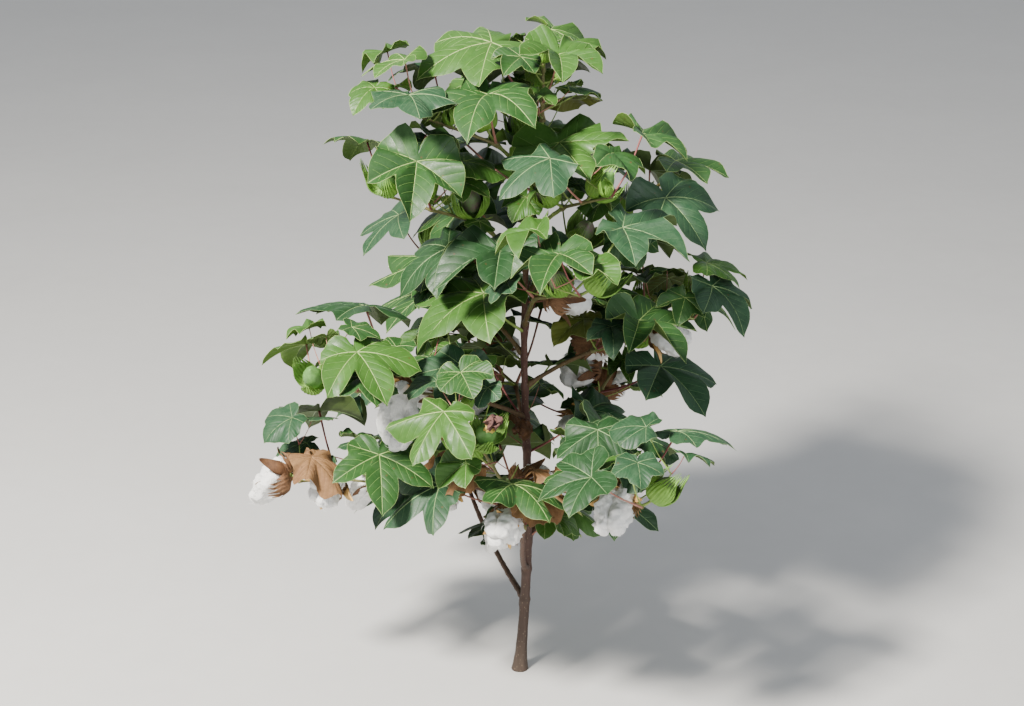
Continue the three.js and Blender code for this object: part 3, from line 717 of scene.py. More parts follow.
class Pile:
    """Points, in millimetres, and faces gathered for one joined piece."""

    def __init__(self):
        self.points, self.faces, self.slots, self.places, self.edges = [], [], [], [], []
        self.count = 0

    def add(self, points, faces, slots=0, places=None, is_edge=None):
        """Copies of one form: points (copies, vertices, 3), its faces, and a slot for each copy or face."""
        copies, vertices = points.shape[:2]
        offsets = self.count + vertices * np.arange(copies)
        self.points.append(points.reshape(-1, 3))
        self.faces.append((faces + offsets[:, None, None]).reshape(-1, 3))
        slots = np.asarray(slots)
        slots = slots[:, None] if slots.shape == (copies,) else slots
        self.slots.append(np.broadcast_to(slots, (copies, len(faces))).reshape(-1))
        places = np.zeros(2) if places is None else places
        self.places.append(np.broadcast_to(places, (copies, vertices, 2)).reshape(-1, 2))
        is_edge = np.zeros(vertices, bool) if is_edge is None else is_edge
        self.edges.append(np.tile(is_edge, copies))
        self.count += copies * vertices

    def piece(self, name, finishes, slot=None, replaced=FOLIAGE):
        """One smooth-shaded object of all that was gathered, with creases along the thin edges."""
        points = np.concatenate(self.points) * MM
        faces = np.concatenate(self.faces).astype(np.int32)
        mesh = bpy.data.meshes.new(name)
        mesh.vertices.add(len(points))
        mesh.vertices.foreach_set("co", points.astype(np.float32).ravel())
        mesh.loops.add(faces.size)
        mesh.loops.foreach_set("vertex_index", faces.ravel())
        mesh.polygons.add(len(faces))
        mesh.polygons.foreach_set("loop_start", np.arange(0, faces.size, 3, dtype=np.int32))
        mesh.polygons.foreach_set("material_index", np.concatenate(self.slots).astype(np.int32))
        mesh.polygons.foreach_set("use_smooth", np.ones(len(faces), bool))
        places = mesh.uv_layers.new(name="UVMap")
        places.data.foreach_set("uv", np.concatenate(self.places)[faces.ravel()].astype(np.float32).ravel())
        mesh.update(calc_edges=True)
        self.crease(mesh)
        for finish in finishes:
            mesh.materials.append(bpy.data.materials[finish])
        piece = bpy.data.objects.new(name, mesh)
        bpy.context.scene.collection.objects.link(piece)
        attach(piece, "root")
        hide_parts(*replaced)

    def crease(self, mesh):
        """Marks sharp each mesh edge that joins two vertices of a thin edge."""
        ends = np.zeros(len(mesh.edges) * 2, np.int32)
        mesh.edges.foreach_get("vertices", ends)
        is_edge = np.concatenate(self.edges)[ends].reshape(-1, 2).all(axis=1)
        if is_edge.any():
            sharp = mesh.attributes.new("sharp_edge", "BOOLEAN", "EDGE")
            sharp.data.foreach_set("value", is_edge)


def circle(sides):
    """Turns in radians, in equal steps round a ring."""
    return np.arange(sides) * 2 * np.pi / sides


def tubes(paths, radii, sides):
    """Closed tubes: rings square to each path (copies, points, 3), squared up on one steady axis."""
    along = unit(np.gradient(paths, axis=1))
    run = paths[:, -1] - paths[:, 0]
    upright = run[:, 2] > np.hypot(run[:, 0], run[:, 1])
    steady = np.where(upright[:, None], [1.0, 0, 0], [0, 0, 1.0])[:, None]
    across = unit(np.cross(np.broadcast_to(steady, along.shape), along))
    over = np.cross(along, across)
    turn = circle(sides)[:, None]
    spokes = np.cos(turn) * across[:, :, None] + np.sin(turn) * over[:, :, None]
    rings = paths[:, :, None] + radii[:, :, None, None] * spokes
    return np.concatenate([rings.reshape(len(paths), -1, 3), paths[:, :1], paths[:, -1:]], axis=1)


def curved(corners, count):
    """A smooth path through three or more corners (copies, corners, 3): a cubic on each span, whose slope at
    a corner is half the step from the corner before it to the one after it."""
    before = 2 * corners[:, :1] - corners[:, 1:2]
    beyond = 2 * corners[:, -1:] - corners[:, -2:-1]
    ends = np.concatenate([before, corners, beyond], axis=1)
    spans = corners.shape[1] - 1
    place = np.linspace(0, spans, count)
    span = np.minimum(place.astype(int), spans - 1)
    t = (place - span)[:, None]
    p0, p1, p2, p3 = (ends[:, span + k] for k in range(4))
    return 0.5 * (
        2 * p1 + (p2 - p0) * t + (2 * p0 - 5 * p1 + 4 * p2 - p3) * t**2 + (3 * p1 - 3 * p2 + p3 - p0) * t**3
    )


STEEP_AXIS = 0.9


def frames_of(axes, turns):
    """Frames (copies, 3, 3) whose rows are across, over and the axis, turned about the axis in degrees."""
    axes = unit(np.asarray(axes))
    steady = np.where(np.abs(axes[:, 2:]) > STEEP_AXIS, [1.0, 0, 0], [0, 0, 1.0])
    level = unit(np.cross(steady, axes))
    second = np.cross(axes, level)
    turn = np.radians(np.asarray(turns))[:, None]
    across = level * np.cos(turn) + second * np.sin(turn)
    return np.stack([across, np.cross(axes, across), axes], axis=1)


def placed(local, frames, origins):
    """Local points (copies, vertices, 3) carried into frames at origins."""
    return origins[:, None] + np.einsum("kvi,kij->kvj", local, frames)


# Blades. Rays run from the petiole's tip, closer together at the lobes' points, and rings across them.
SIDE, BASAL = LOBE_TURN["side"], LOBE_TURN["basal"]
HALF_SIDE = SIDE / 2
OUTER_SINUS_TURN = (SIDE + BASAL) / 2
HALF_BASAL = OUTER_SINUS_TURN - SIDE
LOBE = {"bulge": 3.2, "point": 0.45, "point_power": 0.62, "rounding": 0.05}
OUTER_SINUS = {"basal_share": 0.55, "depth": 0.97}
EAR = {"inner_power": 1.7, "outer_power": 0.9}
BLADE = {
    "thickness": 0.4,
    "fold_gain": 1.4,
    "curl": (-1.3, 2.4),
    "curl_blend": 3,
    "wave": (0.022, 0.058),
    "skew": 0.06,
    "cup": (0.02, 0.36),
    "cup_fade": 0.75,
}
EDGE_WAVES = ((5, 1), (8, 0.8), (13, 0.5))
RAY_BUNCHING = {"lobe": 1.4, "base": 1.2}
RINGS = {"last": 0.93, "bunching": 0.85, "edge": (0.985, 1.0), "thinning": 40}
VEIN_LIFT = 0.12
VEIN_ANGLE = 44
VEIN_BEND = 0.5
VEIN_FOOT = 0.12
VEIN_STEP = 0.15
VEIN_GROWN_SIZE = 110
MIDRIBS = (0, SIDE, 360 - SIDE, BASAL, 360 - BASAL)
MAIN_VEIN = {"end": 0.97, "thinning": 0.8, "sides": 4, "growth": (0.6, 1.1)}
SIDE_VEIN = {"steps": 7, "foot_lift": 0.26, "width": (0.46, 0.28), "growth": (0.7, 1)}
SIDE_VEIN_END = {"furthest": 0.7, "tries": 40, "edge": 0.93, "turn": 26}
SIDE_VEIN_PAIRS = ((0.0, 5), (SIDE, 4), (-SIDE, 4), (BASAL, 3), (-BASAL, 3))
MARGIN_RADIUS = 0.25
THREAD_SIDES = 3


def lobe_share(share):
    """How far a lobe's edge stands out, from its point at 0 to its sinus at 1, with full shoulders."""
    share = np.clip(share, 0, 1)
    rise = (1 - share ** LOBE["bulge"]) * (1 - LOBE["point"] * share ** LOBE["point_power"])
    return np.sqrt(rise**2 + (LOBE["rounding"] * share) ** 2)


class Blades:
    """The forms of many leaves as arrays, one row for each leaf."""

    def __init__(self, many):
        for name in ("end", "axis", "across", "up", "size", "fold", "droop", "sinus", "side", "basal"):
            setattr(self, name, np.array([getattr(leaf, name) for leaf in many])[:, None])
        count = (len(many), 1)
        self.fold = self.fold * BLADE["fold_gain"]
        self.curl = chance.uniform(*BLADE["curl"], (*count, 2))
        self.wave = chance.uniform(*BLADE["wave"], count)
        self.phase = chance.uniform(0, 2 * np.pi, (*count, len(EDGE_WAVES)))
        self.skew = chance.uniform(-BLADE["skew"], BLADE["skew"], count)
        self.cup = chance.uniform(*BLADE["cup"], count)

    def outline(self, angle):
        """The outline's radius at angles in degrees: three lobes on each side, then the base's round ears."""
        turn = np.where(angle > 180, 360 - angle, angle)
        low = mix(self.sinus, self.basal, OUTER_SINUS["basal_share"]) * OUTER_SINUS["depth"]
        base = np.clip((turn - BASAL) / (180 - BASAL), 0, 1)
        ears = (1 - base ** EAR["inner_power"]) ** EAR["outer_power"]
        ears = NOTCH_SHARE + (self.basal - NOTCH_SHARE) * ears
        bands = (
            (HALF_SIDE, self.sinus, 1, turn / HALF_SIDE),
            (SIDE, self.sinus, self.side, (SIDE - turn) / HALF_SIDE),
            (OUTER_SINUS_TURN, low, self.side, (turn - SIDE) / HALF_BASAL),
            (BASAL, low, self.basal, (BASAL - turn) / HALF_BASAL),
        )
        within = [np.broadcast_to(turn <= last, ears.shape) for last, _, _, _ in bands]
        radii = [mix(sinus, point, lobe_share(share)) for _, sinus, point, share in bands]
        lean = np.where(angle > 180, 1 - self.skew, 1 + self.skew)
        return np.select(within, radii, ears) * self.size * mix(1, lean, np.sin(np.radians(turn)))

    def at(self, angle, radius, lift=0.0):
        """Points on the bent blade. It rises by each lobe's fold about its midrib and by a cup that fades
        outwards, falls by curl and droop with the square of the distance, and waves towards its edge."""
        turns = np.radians(angle)
        beside = radius * np.sin(np.radians(turn_from_midrib(angle)))
        right = np.clip(np.sin(turns) * BLADE["curl_blend"], -1, 1) / 2 + 0.5
        curl = mix(self.curl[..., 0], self.curl[..., 1], right)
        rise = self.fold * beside - curl * beside**2 / self.size - self.droop * radius * radius / self.size
        rise = rise + self.cup * radius * (1 - BLADE["cup_fade"] * radius / self.size)
        waves = 0
        for k, (count, height) in enumerate(EDGE_WAVES):
            waves = waves + height * np.sin(count * turns + self.phase[..., k])
        reach = np.clip(radius / self.outline(angle), 0, 1)
        rise = rise + self.wave * self.size * reach**3 * waves + lift
        along = (radius * np.cos(turns))[..., None] * self.axis
        across = (radius * np.sin(turns))[..., None] * self.across
        return self.end + along + across + rise[..., None] * self.up


def ray_angles(per_half_lobe, per_base):
    """Angles of the rays round a leaf, in degrees, bunched at the points of the lobes."""
    bunch = np.linspace(0, 1, per_half_lobe + 1) ** RAY_BUNCHING["lobe"]
    back = bunch[::-1][1:]
    base = 1 - (1 - np.linspace(0, 1, per_base + 1)) ** RAY_BUNCHING["base"]
    lobes = [HALF_SIDE * bunch, SIDE - HALF_SIDE * back]
    basal = [SIDE + HALF_BASAL * bunch[1:], BASAL - HALF_BASAL * back]
    right = np.concatenate([*lobes, *basal, BASAL + (180 - BASAL) * base[1:]])
    return np.concatenate([right, 360 - right[-2:0:-1]])


def add_blades(pile, blades, angles, rings, tints):
    """Closed blades: rings above and below that share the outline. The undersides' slots follow the tints."""
    many, rays = len(tints), len(angles)
    shares = RINGS["last"] * (np.arange(1, rings) / (rings - 1)) ** RINGS["bunching"]
    shares = np.append(shares, RINGS["edge"])
    radius = (blades.outline(angles[None])[:, None] * shares[:, None]).reshape(many, -1)
    angle = np.tile(angles, len(shares))[None]
    thickest = BLADE["thickness"] / 2
    half = thickest * np.minimum(1, (1 - np.repeat(shares, rays)) * RINGS["thinning"])
    top = blades.at(angle, radius, half)
    under = blades.at(angle, radius, -half)[:, :-rays]
    middle = np.zeros((many, 1))
    poles = [blades.at(middle, middle, lift) for lift in (thickest, -thickest)]
    points = np.concatenate([top, under, *poles], axis=1)
    upper = grid_faces(len(shares), rays, True)[:, ::-1]
    lower = upper[:, ::-1]
    rim = (len(shares) - 1) * rays
    above = rim + rays
    lower = np.where(lower >= rim, lower, lower + above)
    fan = fan_faces(above + rim, np.arange(rays))
    under_fan = fan_faces(above + rim + 1, np.arange(rays) + above, True)
    faces = np.concatenate([upper, fan, lower, under_fan])
    is_top = np.arange(len(faces)) < len(upper) + len(fan)
    slots = np.where(is_top, tints[:, None], tints[:, None] + len(LEAF_TOPS))
    turn = np.radians(turn_from_midrib(angle))
    places = np.stack([radius * np.cos(turn), radius * np.sin(turn)], axis=-1) / blades.size[..., None]
    places = np.concatenate([places, places[:, :-rays], np.zeros((many, 2, 2))], axis=1)
    is_edge = np.zeros(points.shape[1], bool)
    is_edge[rim:above] = True
    pile.add(points, faces, slots, places, is_edge)


def add_main_veins(pile, blades, steps, widths, tints):
    """A vein along each lobe's midrib, as a slim tube half sunk in the blade."""
    share = np.linspace(0, 1, steps)
    width = mix(*widths, share ** MAIN_VEIN["thinning"])
    width = width * np.clip(blades.size / VEIN_GROWN_SIZE, *MAIN_VEIN["growth"])
    for midrib in MIDRIBS:
        angle = np.full((1, steps), float(midrib))
        paths = blades.at(angle, blades.outline(angle) * MAIN_VEIN["end"] * share, VEIN_LIFT)
        pile.add(tubes(paths, width, MAIN_VEIN["sides"]), tube_faces(steps, MAIN_VEIN["sides"]), tints)


def add_margins(pile, blades, angles, tints):
    """The pale margin: a closed thread along each blade's outline, round to its start again."""
    paths = blades.at(angles[None], blades.outline(angles[None]))
    points = tubes(paths, np.full(paths.shape[:2], MARGIN_RADIUS), THREAD_SIDES)[:, :-2]
    faces = grid_faces(len(angles) + 1, THREAD_SIDES, True) % (len(angles) * THREAD_SIDES)
    pile.add(points, faces, tints)


def vein_line(blades, midrib, hand, foot, reach):
    """Angles and radii along a side vein from its foot: it leans out, then bends towards the lobe's point."""
    lean = math.radians(VEIN_ANGLE)
    along = foot + reach * blades.size * (math.cos(lean) + VEIN_BEND * reach)
    beside = hand * reach * blades.size * math.sin(lean)
    return (midrib + np.degrees(np.arctan2(beside, along))) % 360, np.hypot(along, beside)


def add_side_veins(pile, blades, tints):
    """Side veins leave each midrib at a steady angle, bend forward, and end short of the edge."""
    tries = np.linspace(0, SIDE_VEIN_END["furthest"], SIDE_VEIN_END["tries"])
    share = np.linspace(0, 1, SIDE_VEIN["steps"])
    width = mix(*SIDE_VEIN["width"], share) * np.clip(blades.size / VEIN_GROWN_SIZE, *SIDE_VEIN["growth"])
    veins = [(midrib, hand, k) for midrib, pairs in SIDE_VEIN_PAIRS for hand in (-1, 1) for k in range(pairs)]
    for midrib, hand, k in veins:
        foot = blades.size * (VEIN_FOOT + VEIN_STEP * k)
        angle, radius = vein_line(blades, midrib, hand, foot, tries[None])
        turn = np.abs((angle - midrib + 180) % 360 - 180)
        is_inside = (radius < SIDE_VEIN_END["edge"] * blades.outline(angle)) & (turn < SIDE_VEIN_END["turn"])
        last = np.maximum(np.minimum.accumulate(is_inside, axis=1).sum(axis=1) - 1, 1)
        angle, radius = vein_line(blades, midrib, hand, foot, tries[last][:, None] * share)
        paths = blades.at(angle, radius, mix(SIDE_VEIN["foot_lift"], VEIN_LIFT, share))
        pile.add(tubes(paths, width, THREAD_SIDES), tube_faces(len(share), THREAD_SIDES), tints)


# Limbs. Ridges are (how many, height of a turn, depth), and grain is layers of lumps.
STEM_ROWS = 430
STEM_SIDES = 22
STEM_RIDGES = ((5, 90, 0.02), (9, -40, 0.012))
STEM_GRAIN = ((0.16, 5, 3, 0.16), (0.1, 2.4, 4, 0.3))
SCAR = {"swelling": 1.5, "half_height": 5, "bulge": 2.4, "narrow": 2.2, "below": 1.6, "at_top": 0.5}
BOUGH_POINTS = 60
BOUGH_SIDES = 14
BOUGH_GRAIN = ((0.06, 9, 5, 1), (0.04, 3, 6, 1))
COLLAR = {"thickness": 1.5, "middle": 9, "half_length": 7}
JOINT_SWELLING = {"thickness": 1.3, "half_length": 4}
TWIG = {"steps": 11, "sides": 8, "foot": 1.12}
# Stalks, by their sides and their thickness along them
FINE_TWIG = (5, (1.5, 1, 0.9, 0.8))
PEDUNCLE_FORM = (7, (1.3, 1, 0.95, 1.5))
LARGE_PETIOLE = (8, (1.25, 0.85, 0.75, 1))
SMALL_PETIOLE = (5, (1.25, 0.85, 0.75, 1))


def stem_points():
    """Level rings up the stem, with long ridges, a swelling at each node and a scar under each leaf."""
    height = STEM_HEIGHT * np.linspace(0, 1, STEM_ROWS)[:, None]
    turn = circle(STEM_SIDES)
    ridges = 1
    for count, rise, depth in STEM_RIDGES:
        ridges = ridges + depth * np.sin(count * turn + height / rise)
    radius = stem_radius(height) * ridges
    for node in range(1, NODE_COUNT):
        away = (height - node_height(node)) / SCAR["half_height"]
        facing = np.radians(NODE_TURN * node + (STEM_SITE["turn"] if node >= FIRST_LEAF_NODE else 0))
        side = np.exp(SCAR["narrow"] * (np.cos(turn - facing) - 1))
        size = mix(1, SCAR["at_top"], node / NODE_COUNT)
        radius = radius + size * SCAR["swelling"] * np.exp(-(away**2))
        radius = radius + size * SCAR["bulge"] * np.exp(-((away + SCAR["below"]) ** 2)) * side
    centre = stem_at(height[:, 0])
    ring = np.stack([np.cos(turn), np.sin(turn), np.zeros(STEM_SIDES)], -1)
    points = centre[:, None] + radius[..., None] * ring
    grain = lumps(points, STEM_GRAIN)[..., None]
    grain[0] = 0
    points = points + grain * ring
    return np.concatenate([points.reshape(-1, 3), centre[:1], centre[-1:]])[None]


def joint_swelling(away):
    """How much thicker a twig is at a distance from its joint, by a bell curve."""
    return JOINT_SWELLING["thickness"] * np.exp(-((away / JOINT_SWELLING["half_length"]) ** 2))


def bough_points(bough):
    """Rings along a bough, thick where it leaves the stem and where it meets its mass, with lumps."""
    path = curved(bough.points[None], BOUGH_POINTS)
    length = np.linalg.norm(np.diff(path, axis=1), axis=2).sum()
    run = np.linspace(0, length, BOUGH_POINTS)
    collar = COLLAR["thickness"] * np.exp(-(((run - COLLAR["middle"]) / COLLAR["half_length"]) ** 2))
    radius = mix(*bough.radii, run / length) + collar + joint_swelling(length - run)
    points = tubes(path, radius[None], BOUGH_SIDES)[0]
    centre = np.concatenate([np.repeat(path[0], BOUGH_SIDES, axis=0), path[0, :1], path[0, -1:]])
    return (points + (points - centre) * lumps(points, BOUGH_GRAIN)[:, None])[None]


def add_twig(pile, mass):
    """A mass's zigzag twig, from its limb's tip, with a swollen joint at each turn."""
    corners = np.array([mass.tip, *mass.twig.points])
    share = np.linspace(0, 1, TWIG["steps"], endpoint=False)[:, None]
    spans = [start + (end - start) * share for start, end in zip(corners[:-1], corners[1:])]
    path = np.concatenate([*spans, corners[-1:]])
    run = np.concatenate([[0], np.cumsum(np.linalg.norm(np.diff(path, axis=0), axis=1))])
    radius = mix(mass.twig.radii[0] * TWIG["foot"], mass.twig.radii[1], run / run[-1])
    for joint in run[::TWIG["steps"]]:
        radius = radius + joint_swelling(run - joint)
    pile.add(tubes(path[None], radius[None], TWIG["sides"]), tube_faces(len(path), TWIG["sides"]))


def add_stalks(pile, many, form, tints):
    """Bent stalks through the points of each, with a thickness that follows a profile along them."""
    sides, profile = form
    steps = 3 * len(profile) - 2
    paths = curved(np.array([one.points for one in many]), steps)
    thickness = np.interp(np.linspace(0, 1, steps), np.linspace(0, 1, len(profile)), profile)
    radii = np.array([one.radius for one in many])[:, None] * thickness
    pile.add(tubes(paths, radii, sides), tube_faces(steps, sides), tints)


# Fruit. Pairs of numbers are ranges for chance, and single ones a swing to either side.
LOCK = {
    "from": 4,
    "to": 58,
    "radius": 12.6,
    "fullness": 0.6,
    "pole": 0.02,
    "beside": (3, 12, 15.5, 14, 7),
    "rings": 34,
    "sides": 24,
    "swell": (0.94, 1.08),
    "turn": 0.15,
    "reach": (-8, 5),
    "shift": 1.5,
    "thickness": (0.86, 1.08),
}
LOCK_LUMPS = ((0.12, 19, 7, 1), (0.11, 9, 8, 1), (0.07, 4.6, 9, 1))
HAIR = {"per_lock": 18, "length": (4, 11), "depth": 0.95, "radii": (0.36, 0.1), "steps": 5, "from_end": 3}
HAIR_CORNERS = ((0.4, 0.3, 0), (0.45, 0.85, 0.1))


def lock_lines(open_fruits):
    """Middle lines and radii of the locks of lint: four a boll, which part and sag with it."""
    lift = np.linspace(0, np.pi, LOCK["rings"])
    share = (1 - np.cos(lift)) / 2
    thickness = LOCK["radius"] * np.maximum(np.sin(lift), LOCK["pole"]) ** LOCK["fullness"]
    beside = np.interp(share, np.linspace(0, 1, len(LOCK["beside"])), LOCK["beside"])[:, None]
    paths, radii = [], []
    for fruit, (across, over, _) in zip(open_fruits, frames_and_ends(open_fruits)[0]):
        swell = chance.uniform(*LOCK["swell"])
        for lock in range(LOCKS["count"]):
            turn = 2 * math.pi * (lock + 0.5) / LOCKS["count"] + chance.uniform(-LOCK["turn"], LOCK["turn"])
            side = math.cos(turn) * across + math.sin(turn) * over
            distances = mix(LOCK["from"], LOCK["to"] + chance.uniform(*LOCK["reach"]), share)
            path = np.array([on_boll(fruit, distance) for distance in distances]) + side * beside
            paths.append(path + chance.uniform(-LOCK["shift"], LOCK["shift"], 3))
            radii.append(thickness * swell * chance.uniform(*LOCK["thickness"]))
    return np.array(paths), np.array(radii)


def add_lint(pile, paths, radii):
    """Lumpy locks: each point moves out or in by coarse and fine ripples."""
    points = tubes(paths, radii, LOCK["sides"])
    middle = np.concatenate([np.repeat(paths, LOCK["sides"], axis=1), paths[:, :1], paths[:, -1:]], axis=1)
    swell = 1 + lumps(points, LOCK_LUMPS)[..., None]
    pile.add(middle + (points - middle) * swell, tube_faces(LOCK["rings"], LOCK["sides"]))


def add_hairs(pile, paths, radii):
    """Loose fibres that leave the locks outwards, then curl sideways and hang, each a slim tube."""
    lock = np.repeat(np.arange(len(paths)), HAIR["per_lock"])
    count, steps = len(lock), HAIR["steps"]
    ring = chance.integers(HAIR["from_end"], LOCK["rings"] - HAIR["from_end"], count)
    along = paths[lock, ring + 1] - paths[lock, ring]
    outward = unit(np.cross(along, chance.normal(size=(count, 3))))
    sideways = unit(np.cross(outward, chance.normal(size=(count, 3))))
    length = chance.uniform(*HAIR["length"], (count, 1))
    start = paths[lock, ring] + outward * radii[lock, ring][:, None] * HAIR["depth"]
    corners = [start]
    for out, aside, drop in HAIR_CORNERS:
        corners.append(start + outward * length * out + sideways * length * aside - [0, 0, 1] * length * drop)
    thickness = np.broadcast_to(np.linspace(*HAIR["radii"], steps), (count, steps))
    paths = curved(np.stack(corners, axis=1), steps)
    pile.add(tubes(paths, thickness, THREAD_SIDES), tube_faces(steps, THREAD_SIDES))


TOOTH_POWER = 1.4


def toothed(teeth, deep, low):
    """Shares of the curve that a bract's columns reach: long teeth, the tallest in the middle."""
    u = np.linspace(-1, 1, 4 * teeth + 1)
    saw = (np.abs((np.arange(4 * teeth + 1) + 2) % 4 - 2) / 2) ** TOOTH_POWER
    return (1 - low * u**2) * (1 - deep * (1 - saw))


# Scales round the fruits, each kind a thin shell. Its curve is (distance from the axis, height up it), its
# spread the half angle round the axis from foot to tip, and reaches the share of the curve that each column
# has. Then come the folds, and how a ring of them sits on a fruit.
BRACT_SPREAD = (76, 70, 62, 54, 48, 42)
VALVE_COLUMNS = np.abs(np.linspace(-1, 1, 9))
VALVE = SimpleNamespace(
    curve=[(3, -1), (11, 3), (19, 10), (25, 20), (31, 28), (38, 31)],
    spread=(62, 44, 35, 26, 17, 10),
    reaches=0.1 + 0.9 * (1 - VALVE_COLUMNS**1.7),
    rows=11, folds=1, fold=1.0, thickness=1.0,
    count=4, first_turn=0, opening=(-16, 10), size=(0.94, 1.12), crumple=0.9,
)
HALF_VALVE = SimpleNamespace(
    curve=[(2.5, 0), (9.5, 3), (14, 11), (15, 20), (12.5, 30), (7, 37), (2.5, 42)],
    spread=(46, 45, 44, 42, 38, 28),
    reaches=1 - 0.1 * VALVE_COLUMNS**3,
    rows=11, folds=0, fold=0, thickness=1.0,
    count=4, first_turn=45, opening=(9, 20), size=(0.97, 1.05), crumple=0.5,
)
DRY_BRACT = SimpleNamespace(
    curve=[(3, -3), (13, -3), (23, 3), (31, 12), (35, 24), (34, 36)],
    spread=BRACT_SPREAD,
    reaches=toothed(7, 0.36, 0.34),
    rows=8, folds=7, fold=0.7, thickness=0.6,
    count=3, first_turn=45, opening=(-4, 34), size=(0.58, 0.86), crumple=3.4,
)
GREEN_BRACT = SimpleNamespace(
    curve=[(3, -2), (13, -1), (20, 10), (21.5, 24), (17, 38), (10, 58)],
    spread=BRACT_SPREAD,
    reaches=toothed(8, 0.36, 0.3),
    rows=9, folds=8, fold=0.55, thickness=0.6,
    count=3, first_turn=0, opening=(-3, 5), size=(0.85, 1.04), crumple=1.6,
)
BUD_BRACT = SimpleNamespace(
    curve=[(1.5, -2), (7, 0), (10, 8), (9, 16), (5, 24), (3, 31)],
    spread=BRACT_SPREAD,
    reaches=toothed(5, 0.3, 0.3),
    rows=7, folds=5, fold=0.4, thickness=0.5,
    count=3, first_turn=0, opening=(-3, 4), size=(0.85, 1.05), crumple=0.7,
)
SCALE_SWING = 9
SCALE_RIPPLE = 26
SCALE_KEY, BODY_KEY = 11, 21
CURVE_STEPS = 60

# Bodies of revolution, as (radius, height) from foot to tip, and how they are made: sides, furrows, the
# depth of a furrow, and crumpling
BODY = {"steps": 4, "ripple": 10, "furrow_power": 8, "least_radius": 0.2}
GREEN_BODY = ([(2, 0), (9, 3), (13.5, 11), (14, 20), (11, 30), (5, 37), (1.2, 41)], 20, 4, 0.06, 0.15)
HALF_LINT_BODY = ([(2, 2), (8, 5), (12.5, 12), (14.5, 21), (14, 31), (10, 40), (3, 45)], 24, 4, 0.2, 1.4)
SHRUNKEN_BODY = ([(1.5, -3), (6, 1), (11, 7), (13, 15), (11, 23), (6, 29), (2, 31)], 24, 3, 0.35, 3.0)
WITHERED_BODY = (
    [(2.5, 10), (5, 20), (6.5, 31), (7.5, 41), (9.5, 49), (9.5, 57), (5, 61), (2, 58)], 24, 5, 0.5, 3.4
)
SHRUNKEN_PLACE = {"node": 6.5, "azimuth": -108, "elevation": 35}
HALF_OPEN_STEP = 7
BLUSH_STEP = 2
PURPLE_FROM = 0.55
BRACTS_OPENED = {"share": 0.3, "green": 15, "half_open": 24, "withered": 16}


def group(kind):
    """All fruits of a kind."""
    return [fruit for fruit in fruits if fruit.kind == kind]


def frames_and_ends(many):
    """Fruits' frames, and their origins, set back from their stalks' ends by the stalk's radius."""
    frames = frames_of([fruit.axis for fruit in many], [fruit.turn for fruit in many])
    ends = np.array([fruit.end - fruit.axis * PEDUNCLE["radius"] for fruit in many])
    return frames, ends


def scale_points(scale):
    """A scale's outer surface in its fruit's frame. Each column runs up to its own share of the curve, so
    that the last row is the toothed or pointed edge. The columns are spread round the axis by an angle
    that changes upwards, with folds that deepen upwards."""
    u = np.linspace(-1, 1, len(scale.reaches))
    share = np.linspace(0, 1, scale.rows)[:, None] * scale.reaches
    fine = curved(np.array(scale.curve, float)[None], CURVE_STEPS)[0]
    distance, height = (np.interp(share, np.linspace(0, 1, CURVE_STEPS), fine[:, k]) for k in (0, 1))
    turn = np.radians(u * np.interp(share, np.linspace(0, 1, len(scale.spread)), scale.spread))
    distance = distance + scale.fold * np.cos(np.pi * scale.folds * (u + 1)) * np.sqrt(share)
    return np.stack([distance * np.cos(turn), distance * np.sin(turn), height], -1)


def turned(x, y, angle):
    """Two coordinates turned by an angle in degrees."""
    turn = np.radians(angle)[:, None]
    return x * np.cos(turn) - y * np.sin(turn), x * np.sin(turn) + y * np.cos(turn)


def add_scales(pile, scale, many, outer_slot, inner_slot, base_opening=None):
    """A ring of scales on each fruit. By chance each is larger or smaller about its foot, opened outwards and
    turned to its place, and it is crumpled the more the further from its foot."""
    frames, ends = frames_and_ends(many)
    count = scale.count * len(many)
    turns = np.tile(scale.first_turn + np.arange(scale.count) * 360 / scale.count, len(many))
    turns = turns + chance.uniform(-SCALE_SWING, SCALE_SWING, count)
    opening = np.repeat(base_opening(many), scale.count) if base_opening else 0
    opening = opening + chance.uniform(*scale.opening, count)
    sizes = chance.uniform(*scale.size, count)
    outer = scale_points(scale)
    rows, columns = outer.shape[:2]
    normal = np.cross(np.gradient(outer, axis=1), np.gradient(outer, axis=0))
    normal = normal / np.maximum(np.linalg.norm(normal, axis=-1, keepdims=True), 1e-6)
    both = np.concatenate([outer.reshape(-1, 3), (outer - normal * scale.thickness).reshape(-1, 3)])
    foot = both[columns // 2]
    local = (both - foot) * sizes[:, None, None]
    z, x = turned(local[..., 2], local[..., 0], opening)
    x, y = turned(x + foot[0], local[..., 1] + foot[1], turns)
    local = np.stack([x, y, z + foot[2]], -1)
    points = placed(local, np.repeat(frames, scale.count, axis=0), np.repeat(ends, scale.count, axis=0))
    reach = np.linalg.norm(both - foot, axis=1)
    points = points + shifts(points, SCALE_RIPPLE, SCALE_KEY) * (scale.crumple * reach / reach.max())[:, None]
    is_edge = np.zeros((2, rows, columns), bool)
    is_edge[:, [0, -1]] = True
    is_edge[:, :, [0, -1]] = True
    faces = shell_faces(rows, columns)
    side = 2 * (rows - 1) * (columns - 1)
    number = np.arange(len(faces))
    slots = np.where((number >= side) & (number < 2 * side), inner_slot, outer_slot)
    pile.add(points, faces, slots, is_edge=is_edge.ravel())


